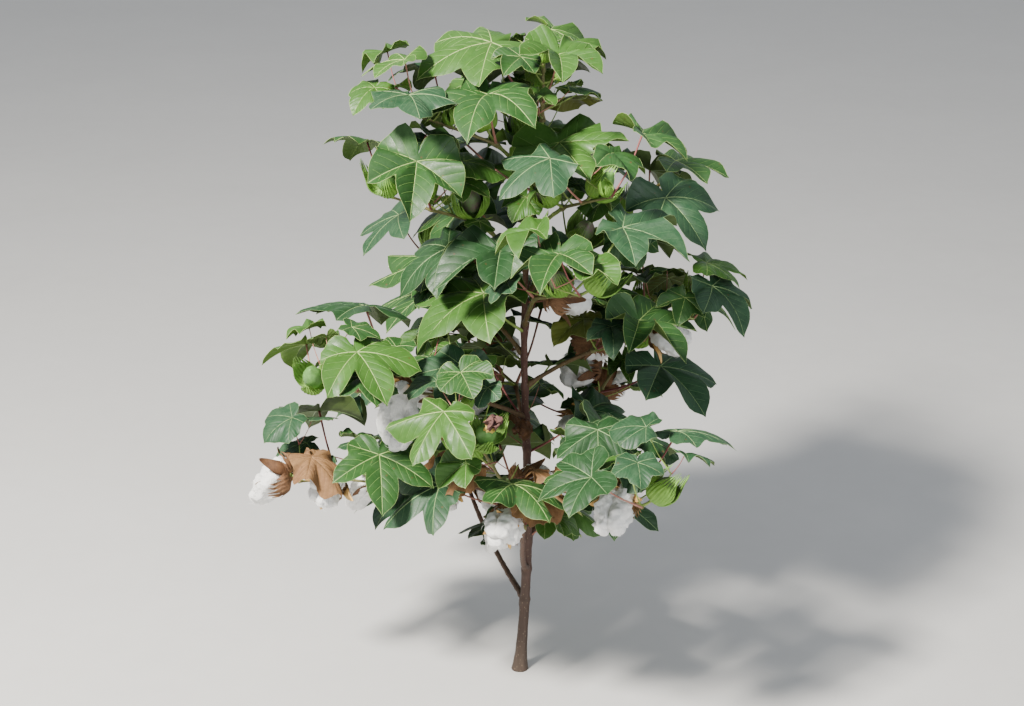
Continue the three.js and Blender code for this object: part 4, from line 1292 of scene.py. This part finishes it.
def add_body(pile, body, many, slots=0):
    """A closed body of revolution with furrows down it, crumpled by ripples."""
    profile, sides, furrows, depth, crumple = body
    profile = curved(np.array(profile, float)[None], BODY["steps"] * len(profile))[0]
    turn = circle(sides)
    furrow = 1 - depth * np.abs(np.cos(furrows * turn / 2)) ** BODY["furrow_power"]
    radius = np.maximum(profile[:, :1], BODY["least_radius"]) * furrow
    height = np.repeat(profile[:, 1:], sides, axis=1)
    ring = np.stack([radius * np.cos(turn), radius * np.sin(turn), height], -1)
    local = np.concatenate([ring.reshape(-1, 3), [[0, 0, profile[0, 1]]], [[0, 0, profile[-1, 1]]]])
    points = placed(np.repeat(local[None], len(many), axis=0), *frames_and_ends(many))
    points = points + shifts(points, BODY["ripple"], BODY_KEY) * crumple
    pile.add(points, tube_faces(len(profile), sides), slots)


def slots_up(body, share):
    """The slot of each face of a body: 0 up to a share of its rings, and 1 beyond and at its tip."""
    profile, sides = body[:2]
    cells = sides * (BODY["steps"] * len(profile) - 1)
    height = np.arange(2 * cells + 2 * sides) % cells / cells
    height[-sides:] = 1
    return (height > share).astype(int)


# Materials. A colour is given as three shares, and lengths are in metres.
def connect(tree, socket, value):
    """Links another node's output to a socket, or gives the socket a plain value."""
    if isinstance(value, bpy.types.NodeSocket):
        tree.links.new(value, socket)
    else:
        socket.default_value = (*value, 1) if socket.type == "RGBA" else value


def add_node(tree, kind, inputs=(), **settings):
    """A shader node with its settings, and its inputs by name or number."""
    node = tree.nodes.new(kind)
    for name, value in settings.items():
        setattr(node, name, value)
    for name, value in dict(inputs).items():
        connect(tree, node.inputs[name], value)
    return node


def maths(tree, operation, first, second=0.0):
    """One operation on two values."""
    return add_node(tree, "ShaderNodeMath", {0: first, 1: second}, operation=operation).outputs[0]


def blend(tree, share, first, second, way="MIX"):
    """Two colours blended by a share."""
    inputs = {0: share, 6: first, 7: second}
    return add_node(tree, "ShaderNodeMix", inputs, data_type="RGBA", blend_type=way).outputs[2]


def stretch(tree, value, low, high, start=0.0, stop=1.0):
    """A value carried over so that start becomes low and stop becomes high."""
    inputs = {"Value": value, "From Min": start, "From Max": stop, "To Min": low, "To Max": high}
    return add_node(tree, "ShaderNodeMapRange", inputs).outputs[0]


def noise(tree, at, scale, detail):
    """Smooth noise of a scale, with so many finer layers."""
    inputs = {"Vector": at, "Scale": scale, "Detail": detail}
    return add_node(tree, "ShaderNodeTexNoise", inputs).outputs["Fac"]


def cells(tree, at, scale, **settings):
    """Distances in a loose pattern of cells: from their hearts, unless the settings say otherwise."""
    inputs = {"Vector": at, "Scale": scale}
    return add_node(tree, "ShaderNodeTexVoronoi", inputs, **settings).outputs["Distance"]


def new_group(name, inputs, outputs):
    """A shader node group with named sockets of a kind: its tree, what it is given and what it gives back."""
    tree = bpy.data.node_groups.new(name, "ShaderNodeTree")
    for in_out, sockets in (("INPUT", inputs), ("OUTPUT", outputs)):
        for socket, kind in sockets.items():
            tree.interface.new_socket(socket, in_out=in_out, socket_type="NodeSocket" + kind)
    return tree, tree.nodes.new("NodeGroupInput").outputs, tree.nodes.new("NodeGroupOutput").inputs


MOTTLE_NOISE = {"fineness": 7.0, "coarse_detail": 4.0, "fine_detail": 3.0}
BARK_NOISE = {"scale": 260.0, "streak": 0.09, "detail": 5.0}
PORES = {"stretch": 0.5, "edge": (0.22, 0.1), "height": 0.5}
LEAF_NET = {"scale": 24.0, "widest": 0.1, "height": 0.9, "puff_power": 0.7}
SPECK_EDGE = (0.05, 0.1)


def mottle_group():
    """Coarse and fine noise mixed and stretched by a contrast: a mask, and a blend of two colours by it."""
    inputs = {"Coordinates": "Vector", "Dark": "Color", "Light": "Color"}
    inputs.update(dict.fromkeys(["Scale", "Fine share", "Contrast"], "Float"))
    tree, given, result = new_group("Mottle", inputs, {"Colour": "Color", "Mask": "Float"})
    at, scale = given["Coordinates"], given["Scale"]
    coarse = noise(tree, at, scale, MOTTLE_NOISE["coarse_detail"])
    fine_scale = maths(tree, "MULTIPLY", scale, MOTTLE_NOISE["fineness"])
    fine = noise(tree, at, fine_scale, MOTTLE_NOISE["fine_detail"])
    both = {"Factor": given["Fine share"], "A": coarse, "B": fine}
    mixed = add_node(tree, "ShaderNodeMix", both).outputs[0]
    low, high = (maths(tree, operation, 0.5, given["Contrast"]) for operation in ("SUBTRACT", "ADD"))
    mask = stretch(tree, mixed, 0.0, 1.0, low, high)
    connect(tree, result["Colour"], blend(tree, mask, given["Dark"], given["Light"]))
    connect(tree, result["Mask"], mask)
    return tree


def bark_group():
    """Streaks along the stem and small raised breathing pores: masks of both, and a height."""
    outputs = dict.fromkeys(["Streaks", "Height", "Pores"], "Float")
    tree, given, result = new_group("Bark", {"Coordinates": "Vector", "Scale": "Float"}, outputs)
    at = given["Coordinates"]
    stretched, flattened = (
        add_node(tree, "ShaderNodeMapping", {"Vector": at, "Scale": (1, 1, upward)}).outputs[0]
        for upward in (BARK_NOISE["streak"], PORES["stretch"])
    )
    streak = noise(tree, stretched, given["Scale"], BARK_NOISE["detail"])
    pore = stretch(tree, cells(tree, flattened, given["Scale"]), 0.0, 1.0, *PORES["edge"])
    height = maths(tree, "ADD", streak, maths(tree, "MULTIPLY", pore, PORES["height"]))
    for name, value in (("Streaks", streak), ("Height", height), ("Pores", pore)):
        connect(tree, result[name], value)
    return tree


def relief_group():
    """Height of a leaf between its side veins, which run as their tubes do, and of its net of small veins."""
    tree, given, result = new_group("Leaf relief", {"Coordinates": "Vector"}, {"Height": "Float"})
    at = given["Coordinates"]
    place = add_node(tree, "ShaderNodeSeparateXYZ", {"Vector": at}).outputs
    lean = math.radians(VEIN_ANGLE)
    bend = maths(tree, "MULTIPLY", place["Y"], VEIN_BEND / math.sin(lean) ** 2)
    shift = maths(tree, "MULTIPLY", place["Y"], maths(tree, "ADD", bend, 1 / math.tan(lean)))
    foot = maths(tree, "SUBTRACT", maths(tree, "SUBTRACT", place["X"], shift), VEIN_FOOT)
    wave = maths(tree, "SINE", maths(tree, "MULTIPLY", foot, math.pi / VEIN_STEP))
    puff = maths(tree, "POWER", maths(tree, "ABSOLUTE", wave), LEAF_NET["puff_power"])
    net = cells(tree, at, LEAF_NET["scale"], feature="DISTANCE_TO_EDGE")
    fine = maths(tree, "MULTIPLY", maths(tree, "MINIMUM", net, LEAF_NET["widest"]), LEAF_NET["height"])
    connect(tree, result["Height"], maths(tree, "ADD", puff, fine))
    return tree


def specks_group():
    """Small round specks of another colour, one at the heart of each cell of a loose pattern."""
    inputs = {"Coordinates": "Vector", "Colour": "Color", "Speck colour": "Color"}
    inputs.update({"Scale": "Float", "Share": "Float"})
    tree, given, result = new_group("Specks", inputs, {"Colour": "Color"})
    away = cells(tree, given["Coordinates"], given["Scale"])
    speck = stretch(tree, away, given["Share"], 0.0, *SPECK_EDGE)
    connect(tree, result["Colour"], blend(tree, speck, given["Colour"], given["Speck colour"]))
    return tree


MOTTLE = mottle_group()
SPECKS = specks_group()
RELIEF = relief_group()
BARK = bark_group()


def use_group(tree, group, inputs):
    """A node group's outputs for its inputs."""
    return add_node(tree, "ShaderNodeGroup", inputs, node_tree=group).outputs


def use_mottle(tree, at, dark, light, scale, fine_share=0.35, contrast=0.22):
    """Two colours mottled together, and the mottling's mask."""
    inputs = {"Coordinates": at, "Dark": dark, "Light": light, "Scale": scale}
    return use_group(tree, MOTTLE, {**inputs, "Fine share": fine_share, "Contrast": contrast})


def use_specks(tree, at, colour, speck_colour, scale, share):
    """A colour with specks of another one strewn over it."""
    inputs = {"Coordinates": at, "Colour": colour, "Speck colour": speck_colour, "Scale": scale}
    return use_group(tree, SPECKS, {**inputs, "Share": share})["Colour"]


def new_material(name, specular, sheen=0.0):
    """A new material: its tree, its shader's inputs, and its places on the plant and on a leaf."""
    material = bpy.data.materials.new(name)
    material.use_nodes = True
    tree = material.node_tree
    shader = tree.nodes["Principled BSDF"].inputs
    shader["Specular IOR Level"].default_value = specular
    shader["Sheen Weight"].default_value = sheen
    coordinates = add_node(tree, "ShaderNodeTexCoord").outputs
    return tree, shader, coordinates["Object"], coordinates["UV"]


def add_bump(tree, shader, height, depth, strength=1.0):
    """A relief in the shading, up to a depth in metres."""
    bump = add_node(tree, "ShaderNodeBump", {"Height": height, "Distance": depth, "Strength": strength})
    connect(tree, shader["Normal"], bump.outputs[0])


BLACK, WHITE = (0, 0, 0), (1, 1, 1)
LEAF_LOOK = {"scale": 38.0, "specular": 0.27, "roughness": (-0.07, 0.14), "mottle_height": 0.3}
LEAF_BUMP = {"depth": 0.0012, "strength": 0.3}
BLOOM = {"colour": (0.16, 0.24, 0.13), "scale": 90.0, "fine_share": 0.5, "contrast": 0.12}
LEAF_SPECKS = ((0.075, 0.045, 0.016), 52.0, 0.75)
PLAIN_LOOK = {"fine_share": 0.45, "roughness": (-0.06, 0.08)}
BARK_LOOK = {
    "specular": 0.25,
    "patches": 12.0,
    "wander": 0.16,
    "shade": (0.55, 1.4),
    "pore_share": 0.3,
    "pore_colour": (0.42, 0.33, 0.22),
    "depth": 0.0005,
}


def leaf_material(name, dark, light, bloom, roughness):
    """Mottled green with a pale bloom in patches and a few brown specks, over a fine net of small veins."""
    tree, shader, at, on_leaf = new_material(name, LEAF_LOOK["specular"])
    green = use_mottle(tree, at, dark, light, LEAF_LOOK["scale"])
    dust = use_mottle(tree, at, BLACK, WHITE, BLOOM["scale"], BLOOM["fine_share"], BLOOM["contrast"])["Mask"]
    pale = blend(tree, stretch(tree, dust, 0.0, bloom), green["Colour"], BLOOM["colour"])
    connect(tree, shader["Base Color"], use_specks(tree, at, pale, *LEAF_SPECKS))
    smooth, rough = LEAF_LOOK["roughness"]
    connect(tree, shader["Roughness"], stretch(tree, dust, roughness + smooth, roughness + rough))
    relief = use_group(tree, RELIEF, {"Coordinates": on_leaf})["Height"]
    height = maths(tree, "ADD", relief, maths(tree, "MULTIPLY", green["Mask"], LEAF_LOOK["mottle_height"]))
    add_bump(tree, shader, height, **LEAF_BUMP)


def plain_material(
    name, dark, light, scale, roughness, depth, specular=0.3, sheen=0.0, contrast=0.22, specks=None
):
    """Two near colours mottled together, with the same pattern in the relief and the roughness, and perhaps
    specks: their colour, scale and share."""
    tree, shader, at, _ = new_material(name, specular, sheen)
    mottled = use_mottle(tree, at, dark, light, scale, PLAIN_LOOK["fine_share"], contrast)
    base = use_specks(tree, at, mottled["Colour"], *specks) if specks else mottled["Colour"]
    connect(tree, shader["Base Color"], base)
    smooth, rough = PLAIN_LOOK["roughness"]
    connect(tree, shader["Roughness"], stretch(tree, mottled["Mask"], roughness + smooth, roughness + rough))
    add_bump(tree, shader, mottled["Mask"], depth)


def bark_material(name, roughness, stops):
    """Streaked and pored bark, whose colour runs up the plant through stops: (height, colour)."""
    tree, shader, at, _ = new_material(name, BARK_LOOK["specular"])
    shader["Roughness"].default_value = roughness
    height = add_node(tree, "ShaderNodeSeparateXYZ", {"Vector": at}).outputs["Z"]
    patches = use_mottle(tree, at, BLACK, WHITE, BARK_LOOK["patches"])["Mask"]
    wander = maths(tree, "MULTIPLY", maths(tree, "SUBTRACT", patches, 0.5), BARK_LOOK["wander"])
    ramp = add_node(tree, "ShaderNodeValToRGB", {"Fac": maths(tree, "ADD", height, wander)})
    elements = ramp.color_ramp.elements
    elements[0].position, elements[1].position = stops[0][0], stops[-1][0]
    for place, _ in stops[1:-1]:
        elements.new(place)
    for element, (_, colour) in zip(elements, stops):
        element.color = (*colour, 1)
    bark = use_group(tree, BARK, {"Coordinates": at, "Scale": BARK_NOISE["scale"]})
    shade = stretch(tree, bark["Streaks"], *BARK_LOOK["shade"])
    streaked = blend(tree, 1.0, ramp.outputs["Color"], shade, "MULTIPLY")
    pores = maths(tree, "MULTIPLY", bark["Pores"], BARK_LOOK["pore_share"])
    connect(tree, shader["Base Color"], blend(tree, pores, streaked, BARK_LOOK["pore_colour"]))
    add_bump(tree, shader, bark["Height"], BARK_LOOK["depth"])


# Leaves: two colours, the share of bloom and the roughness, for each tint from old to dry
LEAF_TOPS = {
    "leaf_deep_green": ((0.007, 0.030, 0.008), (0.016, 0.054, 0.015), 0.06, 0.44),
    "leaf_blue_green": ((0.008, 0.035, 0.014), (0.021, 0.064, 0.026), 0.10, 0.46),
    "leaf_mid_green": ((0.010, 0.043, 0.008), (0.026, 0.078, 0.015), 0.06, 0.44),
    "leaf_fresh_green": ((0.023, 0.075, 0.008), (0.049, 0.122, 0.018), 0.04, 0.42),
    "leaf_yellowing": ((0.076, 0.102, 0.013), (0.135, 0.145, 0.023), 0.08, 0.46),
    "leaf_dry": ((0.110, 0.050, 0.022), (0.260, 0.135, 0.055), 0.05, 0.75),
}
# Undersides: paler and yellower than the tops, as the real leaves are, and brighter and yellower still as
# painted light, which stands in for light shining through the blade
LEAF_UNDERS_WITH_PAINTED_LIGHT = {
    "underside_olive": ((0.035, 0.064, 0.010), (0.066, 0.104, 0.020), 0.05, 0.56),
    "underside_olive_grey": ((0.037, 0.066, 0.014), (0.069, 0.106, 0.026), 0.08, 0.58),
    "underside_moss": ((0.037, 0.078, 0.010), (0.069, 0.123, 0.020), 0.05, 0.56),
    "underside_fresh": ((0.056, 0.123, 0.014), (0.098, 0.178, 0.028), 0.04, 0.54),
    "underside_yellow": ((0.119, 0.136, 0.022), (0.169, 0.175, 0.037), 0.06, 0.56),
    "underside_dry": ((0.150, 0.075, 0.035), (0.300, 0.170, 0.080), 0.05, 0.8),
}

# The rest: two colours, the mottling's scale, the roughness, the relief's depth, and what few of them need:
# how much they shine, their fuzz, their contrast and their specks
VEINS = {
    "vein_pale_green": ((0.13, 0.21, 0.085), (0.23, 0.32, 0.14), 60.0, 0.5, 0.0001),
    "vein_yellow_green": ((0.22, 0.31, 0.095), (0.32, 0.42, 0.15), 60.0, 0.5, 0.0001),
    "side_vein_green": ((0.045, 0.110, 0.045), (0.085, 0.170, 0.072), 60.0, 0.5, 0.0001),
    "side_vein_fresh": ((0.095, 0.200, 0.045), (0.160, 0.280, 0.075), 60.0, 0.5, 0.0001),
    "vein_dry": ((0.22, 0.12, 0.05), (0.36, 0.22, 0.11), 60.0, 0.7, 0.0001),
}
PETIOLES = {
    "petiole_pink": ((0.26, 0.105, 0.080), (0.42, 0.20, 0.15), 70.0, 0.45, 0.0001),
    "petiole_purple_red": ((0.15, 0.040, 0.042), (0.27, 0.085, 0.075), 70.0, 0.45, 0.0001),
    "petiole_green": ((0.17, 0.26, 0.055), (0.29, 0.38, 0.10), 70.0, 0.45, 0.0001),
}
TWIGS = {
    "twig_olive_brown": ((0.085, 0.075, 0.030), (0.21, 0.20, 0.075), 90.0, 0.55, 0.0003),
    "fine_twig_green": ((0.16, 0.24, 0.05), (0.27, 0.35, 0.09), 90.0, 0.5, 0.0001),
}
LINT_DUST = ((0.34, 0.23, 0.13), 150.0, 0.55)
LINT_SHINE = (0.1, 0.2, 0.34)
LINT = {
    "lint_white": ((0.84, 0.83, 0.80), (0.95, 0.945, 0.93), 210.0, 0.95, 0.0026, *LINT_SHINE, LINT_DUST)
}
FIBRES = {"lint_fibre_white": ((0.82, 0.81, 0.77), (0.92, 0.91, 0.89), 200.0, 0.95, 0.0001, 0.1)}
VALVES = {
    "valve_back_brown": ((0.055, 0.026, 0.014), (0.17, 0.080, 0.034), 120.0, 0.65, 0.0006),
    "valve_inside_tan": ((0.52, 0.29, 0.080), (0.82, 0.55, 0.22), 110.0, 0.5, 0.0004),
    "ripe_valve_green_brown": ((0.150, 0.165, 0.040), (0.34, 0.29, 0.10), 90.0, 0.5, 0.0004),
}
DRY_BRACTS = {
    "dry_bract_brown": ((0.085, 0.040, 0.022), (0.27, 0.140, 0.066), 80.0, 0.8, 0.0008),
    "dry_bract_tan": ((0.21, 0.115, 0.050), (0.44, 0.28, 0.135), 80.0, 0.8, 0.0008),
}
GREEN_BRACTS = {
    "bract_green": ((0.092, 0.222, 0.024), (0.205, 0.385, 0.058), 90.0, 0.5, 0.0004),
    "bract_inside_green": ((0.15, 0.31, 0.055), (0.275, 0.45, 0.12), 90.0, 0.5, 0.0004),
}
GLANDS = ((0.022, 0.020, 0.016), 330.0, 0.7)
SKIN = (0.38, 0.0002, 0.3, 0.0)
BOLLS = {
    "boll_skin_green": ((0.062, 0.165, 0.035), (0.135, 0.28, 0.075), 220.0, *SKIN, 0.22, GLANDS),
    "boll_skin_blushed": ((0.150, 0.085, 0.095), (0.105, 0.23, 0.065), 55.0, *SKIN, 0.13, GLANDS),
}
PETALS = {
    "withered_petal_yellow": ((0.40, 0.25, 0.045), (0.66, 0.50, 0.13), 90.0, 0.7, 0.0012),
    "withered_petal_purple": ((0.040, 0.016, 0.022), (0.20, 0.10, 0.075), 130.0, 0.8, 0.0015),
}
FLOOR = {"floor_pale": ((0.50, 0.49, 0.475), (0.53, 0.52, 0.505), 3.0, 0.9, 0.0)}
STEM_BARK = {
    "stem_bark_purple_brown": (
        0.6,
        (
            (0.0, (0.065, 0.046, 0.034)),
            (0.25, (0.071, 0.038, 0.030)),
            (0.55, (0.093, 0.043, 0.032)),
            (0.70, (0.152, 0.104, 0.044)),
            (0.84, (0.160, 0.232, 0.052)),
        ),
    )
}
BOUGH_BARK = {
    "branch_bark_olive_brown": (
        0.55,
        (
            (0.05, (0.068, 0.043, 0.031)),
            (0.35, (0.087, 0.046, 0.031)),
            (0.55, (0.124, 0.087, 0.037)),
            (0.75, (0.168, 0.224, 0.056)),
        ),
    )
}
PLAIN = (VEINS, PETIOLES, TWIGS, LINT, FIBRES, VALVES, DRY_BRACTS, GREEN_BRACTS, BOLLS, PETALS, FLOOR)
BARKS = (STEM_BARK, BOUGH_BARK)
MAKERS = {leaf_material: (LEAF_TOPS, LEAF_UNDERS_WITH_PAINTED_LIGHT), plain_material: PLAIN, bark_material: BARKS}
for make_material, tables in MAKERS.items():
    for table in tables:
        for finish, values in table.items():
            make_material(finish, *values)

# Tints are the slots of LEAF_TOPS, and a leaf's veins follow its tint
DEEP_TINT, BLUISH_TINT, MID_TINT, FRESH_TINT, YELLOW_TINT, DRY_TINT = range(6)
YOUTH = {"size": 120, "least": 1.1, "by_size": 0.7, "height": 900, "above": 0.5, "by_height": 0.8}
YOUTH_SHARE = 0.9
YELLOW_FROM = 0.975
FRESH_BELOW, MID_BELOW, BLUISH_BELOW = -0.14, 0.14, 0.5
DRY_LEAF = {"below": 420, "share": 0.2, "curl": 4.5, "wave": 0.09}
VEIN_OF_TINT = np.array([0, 0, 1, 1, 1, 4])
SIDE_VEIN_STEP, LAST_VEIN = 2, 4
PINK_BELOW, PURPLE_BELOW = 0.45, 0.75
LOWER_LEAVES = 47
LARGE_FORM = {"rays": (7, 8), "rings": 8, "vein_steps": 12, "vein_widths": (1.1, 0.46)}
SMALL_FORM = {"rays": (5, 5), "rings": 5, "vein_steps": 6, "vein_widths": (0.8, 0.4)}


def make_limbs():
    """The stem and each bough, every one as a piece of its own."""
    stem = Pile()
    stem.add(stem_points(), tube_faces(STEM_ROWS, STEM_SIDES))
    stem.piece("main_stem_bark", STEM_BARK, "stem_bark", ["main_stem"])
    for bough in boughs:
        limb = Pile()
        limb.add(bough_points(bough), tube_faces(BOUGH_POINTS, BOUGH_SIDES))
        limb.piece(bough.name + "_bark", BOUGH_BARK, "branch_bark", [bough.name])


def make_twigs():
    """The masses' zigzag twigs, with the finer twigs and the fruits' stalks in a greener finish."""
    twigs = Pile()
    for mass in masses.values():
        if mass.twig:
            add_twig(twigs, mass)
    fine = [SimpleNamespace(points=points, radius=FINE["radius"]) for points in fine_twigs]
    add_stalks(twigs, fine, FINE_TWIG, 1)
    add_stalks(twigs, fruits, PEDUNCLE_FORM, 1)
    twigs.piece("twigs", TWIGS)


def make_petioles():
    """Petioles, pink, purple or green by chance."""
    draws = chance.random(len(leaves))
    tints = np.select([draws < PINK_BELOW, draws < PURPLE_BELOW], [0, 1], 2)
    petioles = Pile()
    add_stalks(petioles, leaves[:main_leaf_count], LARGE_PETIOLE, tints[:main_leaf_count])
    add_stalks(petioles, leaves[main_leaf_count:], SMALL_PETIOLE, tints[main_leaf_count:])
    petioles.piece("petioles", PETIOLES)


def tints_of(many):
    """A tint for each leaf: fresh where small or near the top, deep or bluish below, a few yellow or dry."""
    size = np.array([leaf.size for leaf in many])
    height = np.array([leaf.end[2] for leaf in many])
    youth = np.clip(YOUTH["least"] - size / YOUTH["size"], 0, 1) * YOUTH["by_size"]
    youth = youth + np.clip(height / YOUTH["height"] - YOUTH["above"], 0, 1) * YOUTH["by_height"]
    luck = chance.random(len(many))
    shade = luck - youth * YOUTH_SHARE
    is_dry = (size < SMALL_LEAF_LENGTH) & (height < DRY_LEAF["below"]) & (luck < DRY_LEAF["share"])
    steps = [shade < step for step in (FRESH_BELOW, MID_BELOW, BLUISH_BELOW)]
    tints = [DRY_TINT, YELLOW_TINT, FRESH_TINT, MID_TINT, BLUISH_TINT]
    return np.select([is_dry, luck > YELLOW_FROM, *steps], tints, DEEP_TINT)


def make_leaves(name, many, form):
    """A piece of leaves of one form, and one of their veins and margins. Small ones have no side veins."""
    blades = Blades(many)
    tints = tints_of(many)
    blades.curl[tints == DRY_TINT] = DRY_LEAF["curl"]
    blades.wave[tints == DRY_TINT] = DRY_LEAF["wave"]
    angles = ray_angles(*form["rays"])
    pile = Pile()
    add_blades(pile, blades, angles, form["rings"], tints)
    pile.piece(name + "_leaves", [*LEAF_TOPS, *LEAF_UNDERS_WITH_PAINTED_LIGHT], "foliage")
    vein_tints = VEIN_OF_TINT[tints]
    veins = Pile()
    add_main_veins(veins, blades, form["vein_steps"], form["vein_widths"], vein_tints)
    if form is LARGE_FORM:
        add_side_veins(veins, blades, np.minimum(vein_tints + SIDE_VEIN_STEP, LAST_VEIN))
    add_margins(veins, blades, angles, vein_tints)
    veins.piece(name + "_leaf_veins", VEINS)


def make_all_leaves():
    """The limbs' own leaves in two pieces, by their height, and the small ones with simpler forms."""
    large = sorted(leaves[:main_leaf_count], key=lambda leaf: leaf.end[2])
    make_leaves("lower", large[:LOWER_LEAVES], LARGE_FORM)
    make_leaves("upper", large[LOWER_LEAVES:], LARGE_FORM)
    make_leaves("small", leaves[main_leaf_count:], SMALL_FORM)


def make_lint(open_bolls, half_open):
    """The locks of the open bolls and the lint between half-open valves, and the loose fibres."""
    lint = Pile()
    paths, radii = lock_lines(open_bolls)
    add_lint(lint, paths, radii)
    add_body(lint, HALF_LINT_BODY, half_open)
    lint.piece("lint_locks", LINT)
    hairs = Pile()
    add_hairs(hairs, paths, radii)
    hairs.piece("lint_fibres", FIBRES)


def make_burrs(open_bolls, half_open):
    """Valves of the open and half-open bolls, one shrunken boll that clings to the stem, and dry bracts."""
    burrs = Pile()
    add_scales(burrs, VALVE, open_bolls, 0, 1)
    height = node_height(SHRUNKEN_PLACE["node"])
    axis = heading_of(SHRUNKEN_PLACE["azimuth"], SHRUNKEN_PLACE["elevation"])
    end = stem_at(height) + axis * stem_radius(height)
    add_body(burrs, SHRUNKEN_BODY, [SimpleNamespace(axis=axis, turn=0.0, end=end)])
    add_scales(burrs, HALF_VALVE, half_open, 2, 1)
    burrs.piece("burr_valves", VALVES)
    dry_bracts = Pile()
    add_scales(dry_bracts, DRY_BRACT, open_bolls, 0, 1)
    dry_bracts.piece("dry_bracts", DRY_BRACTS)


def bracts_opened(many):
    """How far the bracts of each fruit have opened, in degrees, by its kind; green ones only by chance."""
    is_open = chance.random(len(many)) < BRACTS_OPENED["share"]
    is_open = is_open | [fruit.kind != "green" for fruit in many]
    return is_open * [BRACTS_OPENED[fruit.kind] for fruit in many]


def make_green_fruit(green_bolls, half_open, withered, buds):
    """Green bolls, withered flowers and buds, each in three toothed bracts."""
    bracts = Pile()
    add_scales(bracts, GREEN_BRACT, green_bolls + half_open + withered, 0, 1, bracts_opened)
    add_scales(bracts, BUD_BRACT, buds, 0, 1)
    bracts.piece("green_bracts", GREEN_BRACTS)
    bolls = Pile()
    is_blushed = np.arange(len(green_bolls + withered)) % BLUSH_STEP == 0
    add_body(bolls, GREEN_BODY, green_bolls + withered, is_blushed)
    bolls.piece("green_bolls", BOLLS)
    petals = Pile()
    add_body(petals, WITHERED_BODY, withered, slots_up(WITHERED_BODY, PURPLE_FROM))
    petals.piece("withered_flowers", PETALS)


# A few of the green bolls are half open
for fruit in group("green")[::HALF_OPEN_STEP]:
    fruit.kind = "half_open"
make_limbs()
make_twigs()
make_petioles()
make_all_leaves()
make_lint(group("open"), group("half_open"))
make_burrs(group("open"), group("half_open"))
make_green_fruit(group("green"), group("half_open"), group("withered"), group("bud"))

# Floor, light and camera
FLOOR_SIZE = 40
CAMERA = {"target": (-0.012, 0.0, 0.511), "distance": 2.86, "elevation": 20, "lens": 70}
SKY = {"Color": (0.86, 0.92, 1.0), "Strength": 0.64}


def link(name, data):
    """A new object in the scene."""
    thing = bpy.data.objects.new(name, data)
    bpy.context.scene.collection.objects.link(thing)
    return thing


def make_floor():
    """A large level square, which belongs to the stage."""
    half = FLOOR_SIZE / 2
    corners = [(x * half, y * half, 0) for x, y in ((-1, -1), (1, -1), (1, 1), (-1, 1))]
    mesh = bpy.data.meshes.new("floor")
    mesh.from_pydata(corners, [], [(0, 1, 2, 3)])
    mesh.materials.append(bpy.data.materials["floor_pale"])
    link("floor", mesh)


def add_light(name, place, size, power, colour):
    """A square lamp, turned to the camera's target."""
    light = bpy.data.lights.new(name, "AREA")
    light.energy = power
    light.size = size
    light.color = colour
    lamp = link(name, light)
    lamp.location = place
    lamp.rotation_euler = (Vector(CAMERA["target"]) - Vector(place)).to_track_quat("-Z", "Y").to_euler()


def make_camera():
    """A camera before the plant and above its target, to which it is turned."""
    camera = link("camera", bpy.data.cameras.new("camera"))
    camera.data.lens = CAMERA["lens"]
    lift = math.radians(CAMERA["elevation"])
    back = Vector((0, -math.cos(lift), math.sin(lift))) * CAMERA["distance"]
    camera.location = Vector(CAMERA["target"]) + back
    camera.rotation_euler = (-back).to_track_quat("-Z", "Y").to_euler()
    bpy.context.scene.camera = camera


make_floor()
world = bpy.data.worlds.new("studio")
world.use_nodes = True
for name, value in SKY.items():
    connect(world.node_tree, world.node_tree.nodes["Background"].inputs[name], value)
bpy.context.scene.world = world
add_light("key_light", (-1.7, -1.9, 3.1), 0.5, 540, (1.0, 0.96, 0.88))
add_light("fill_light", (2.0, -3.2, 1.5), 1.6, 62, (0.94, 0.97, 1.0))
make_camera()
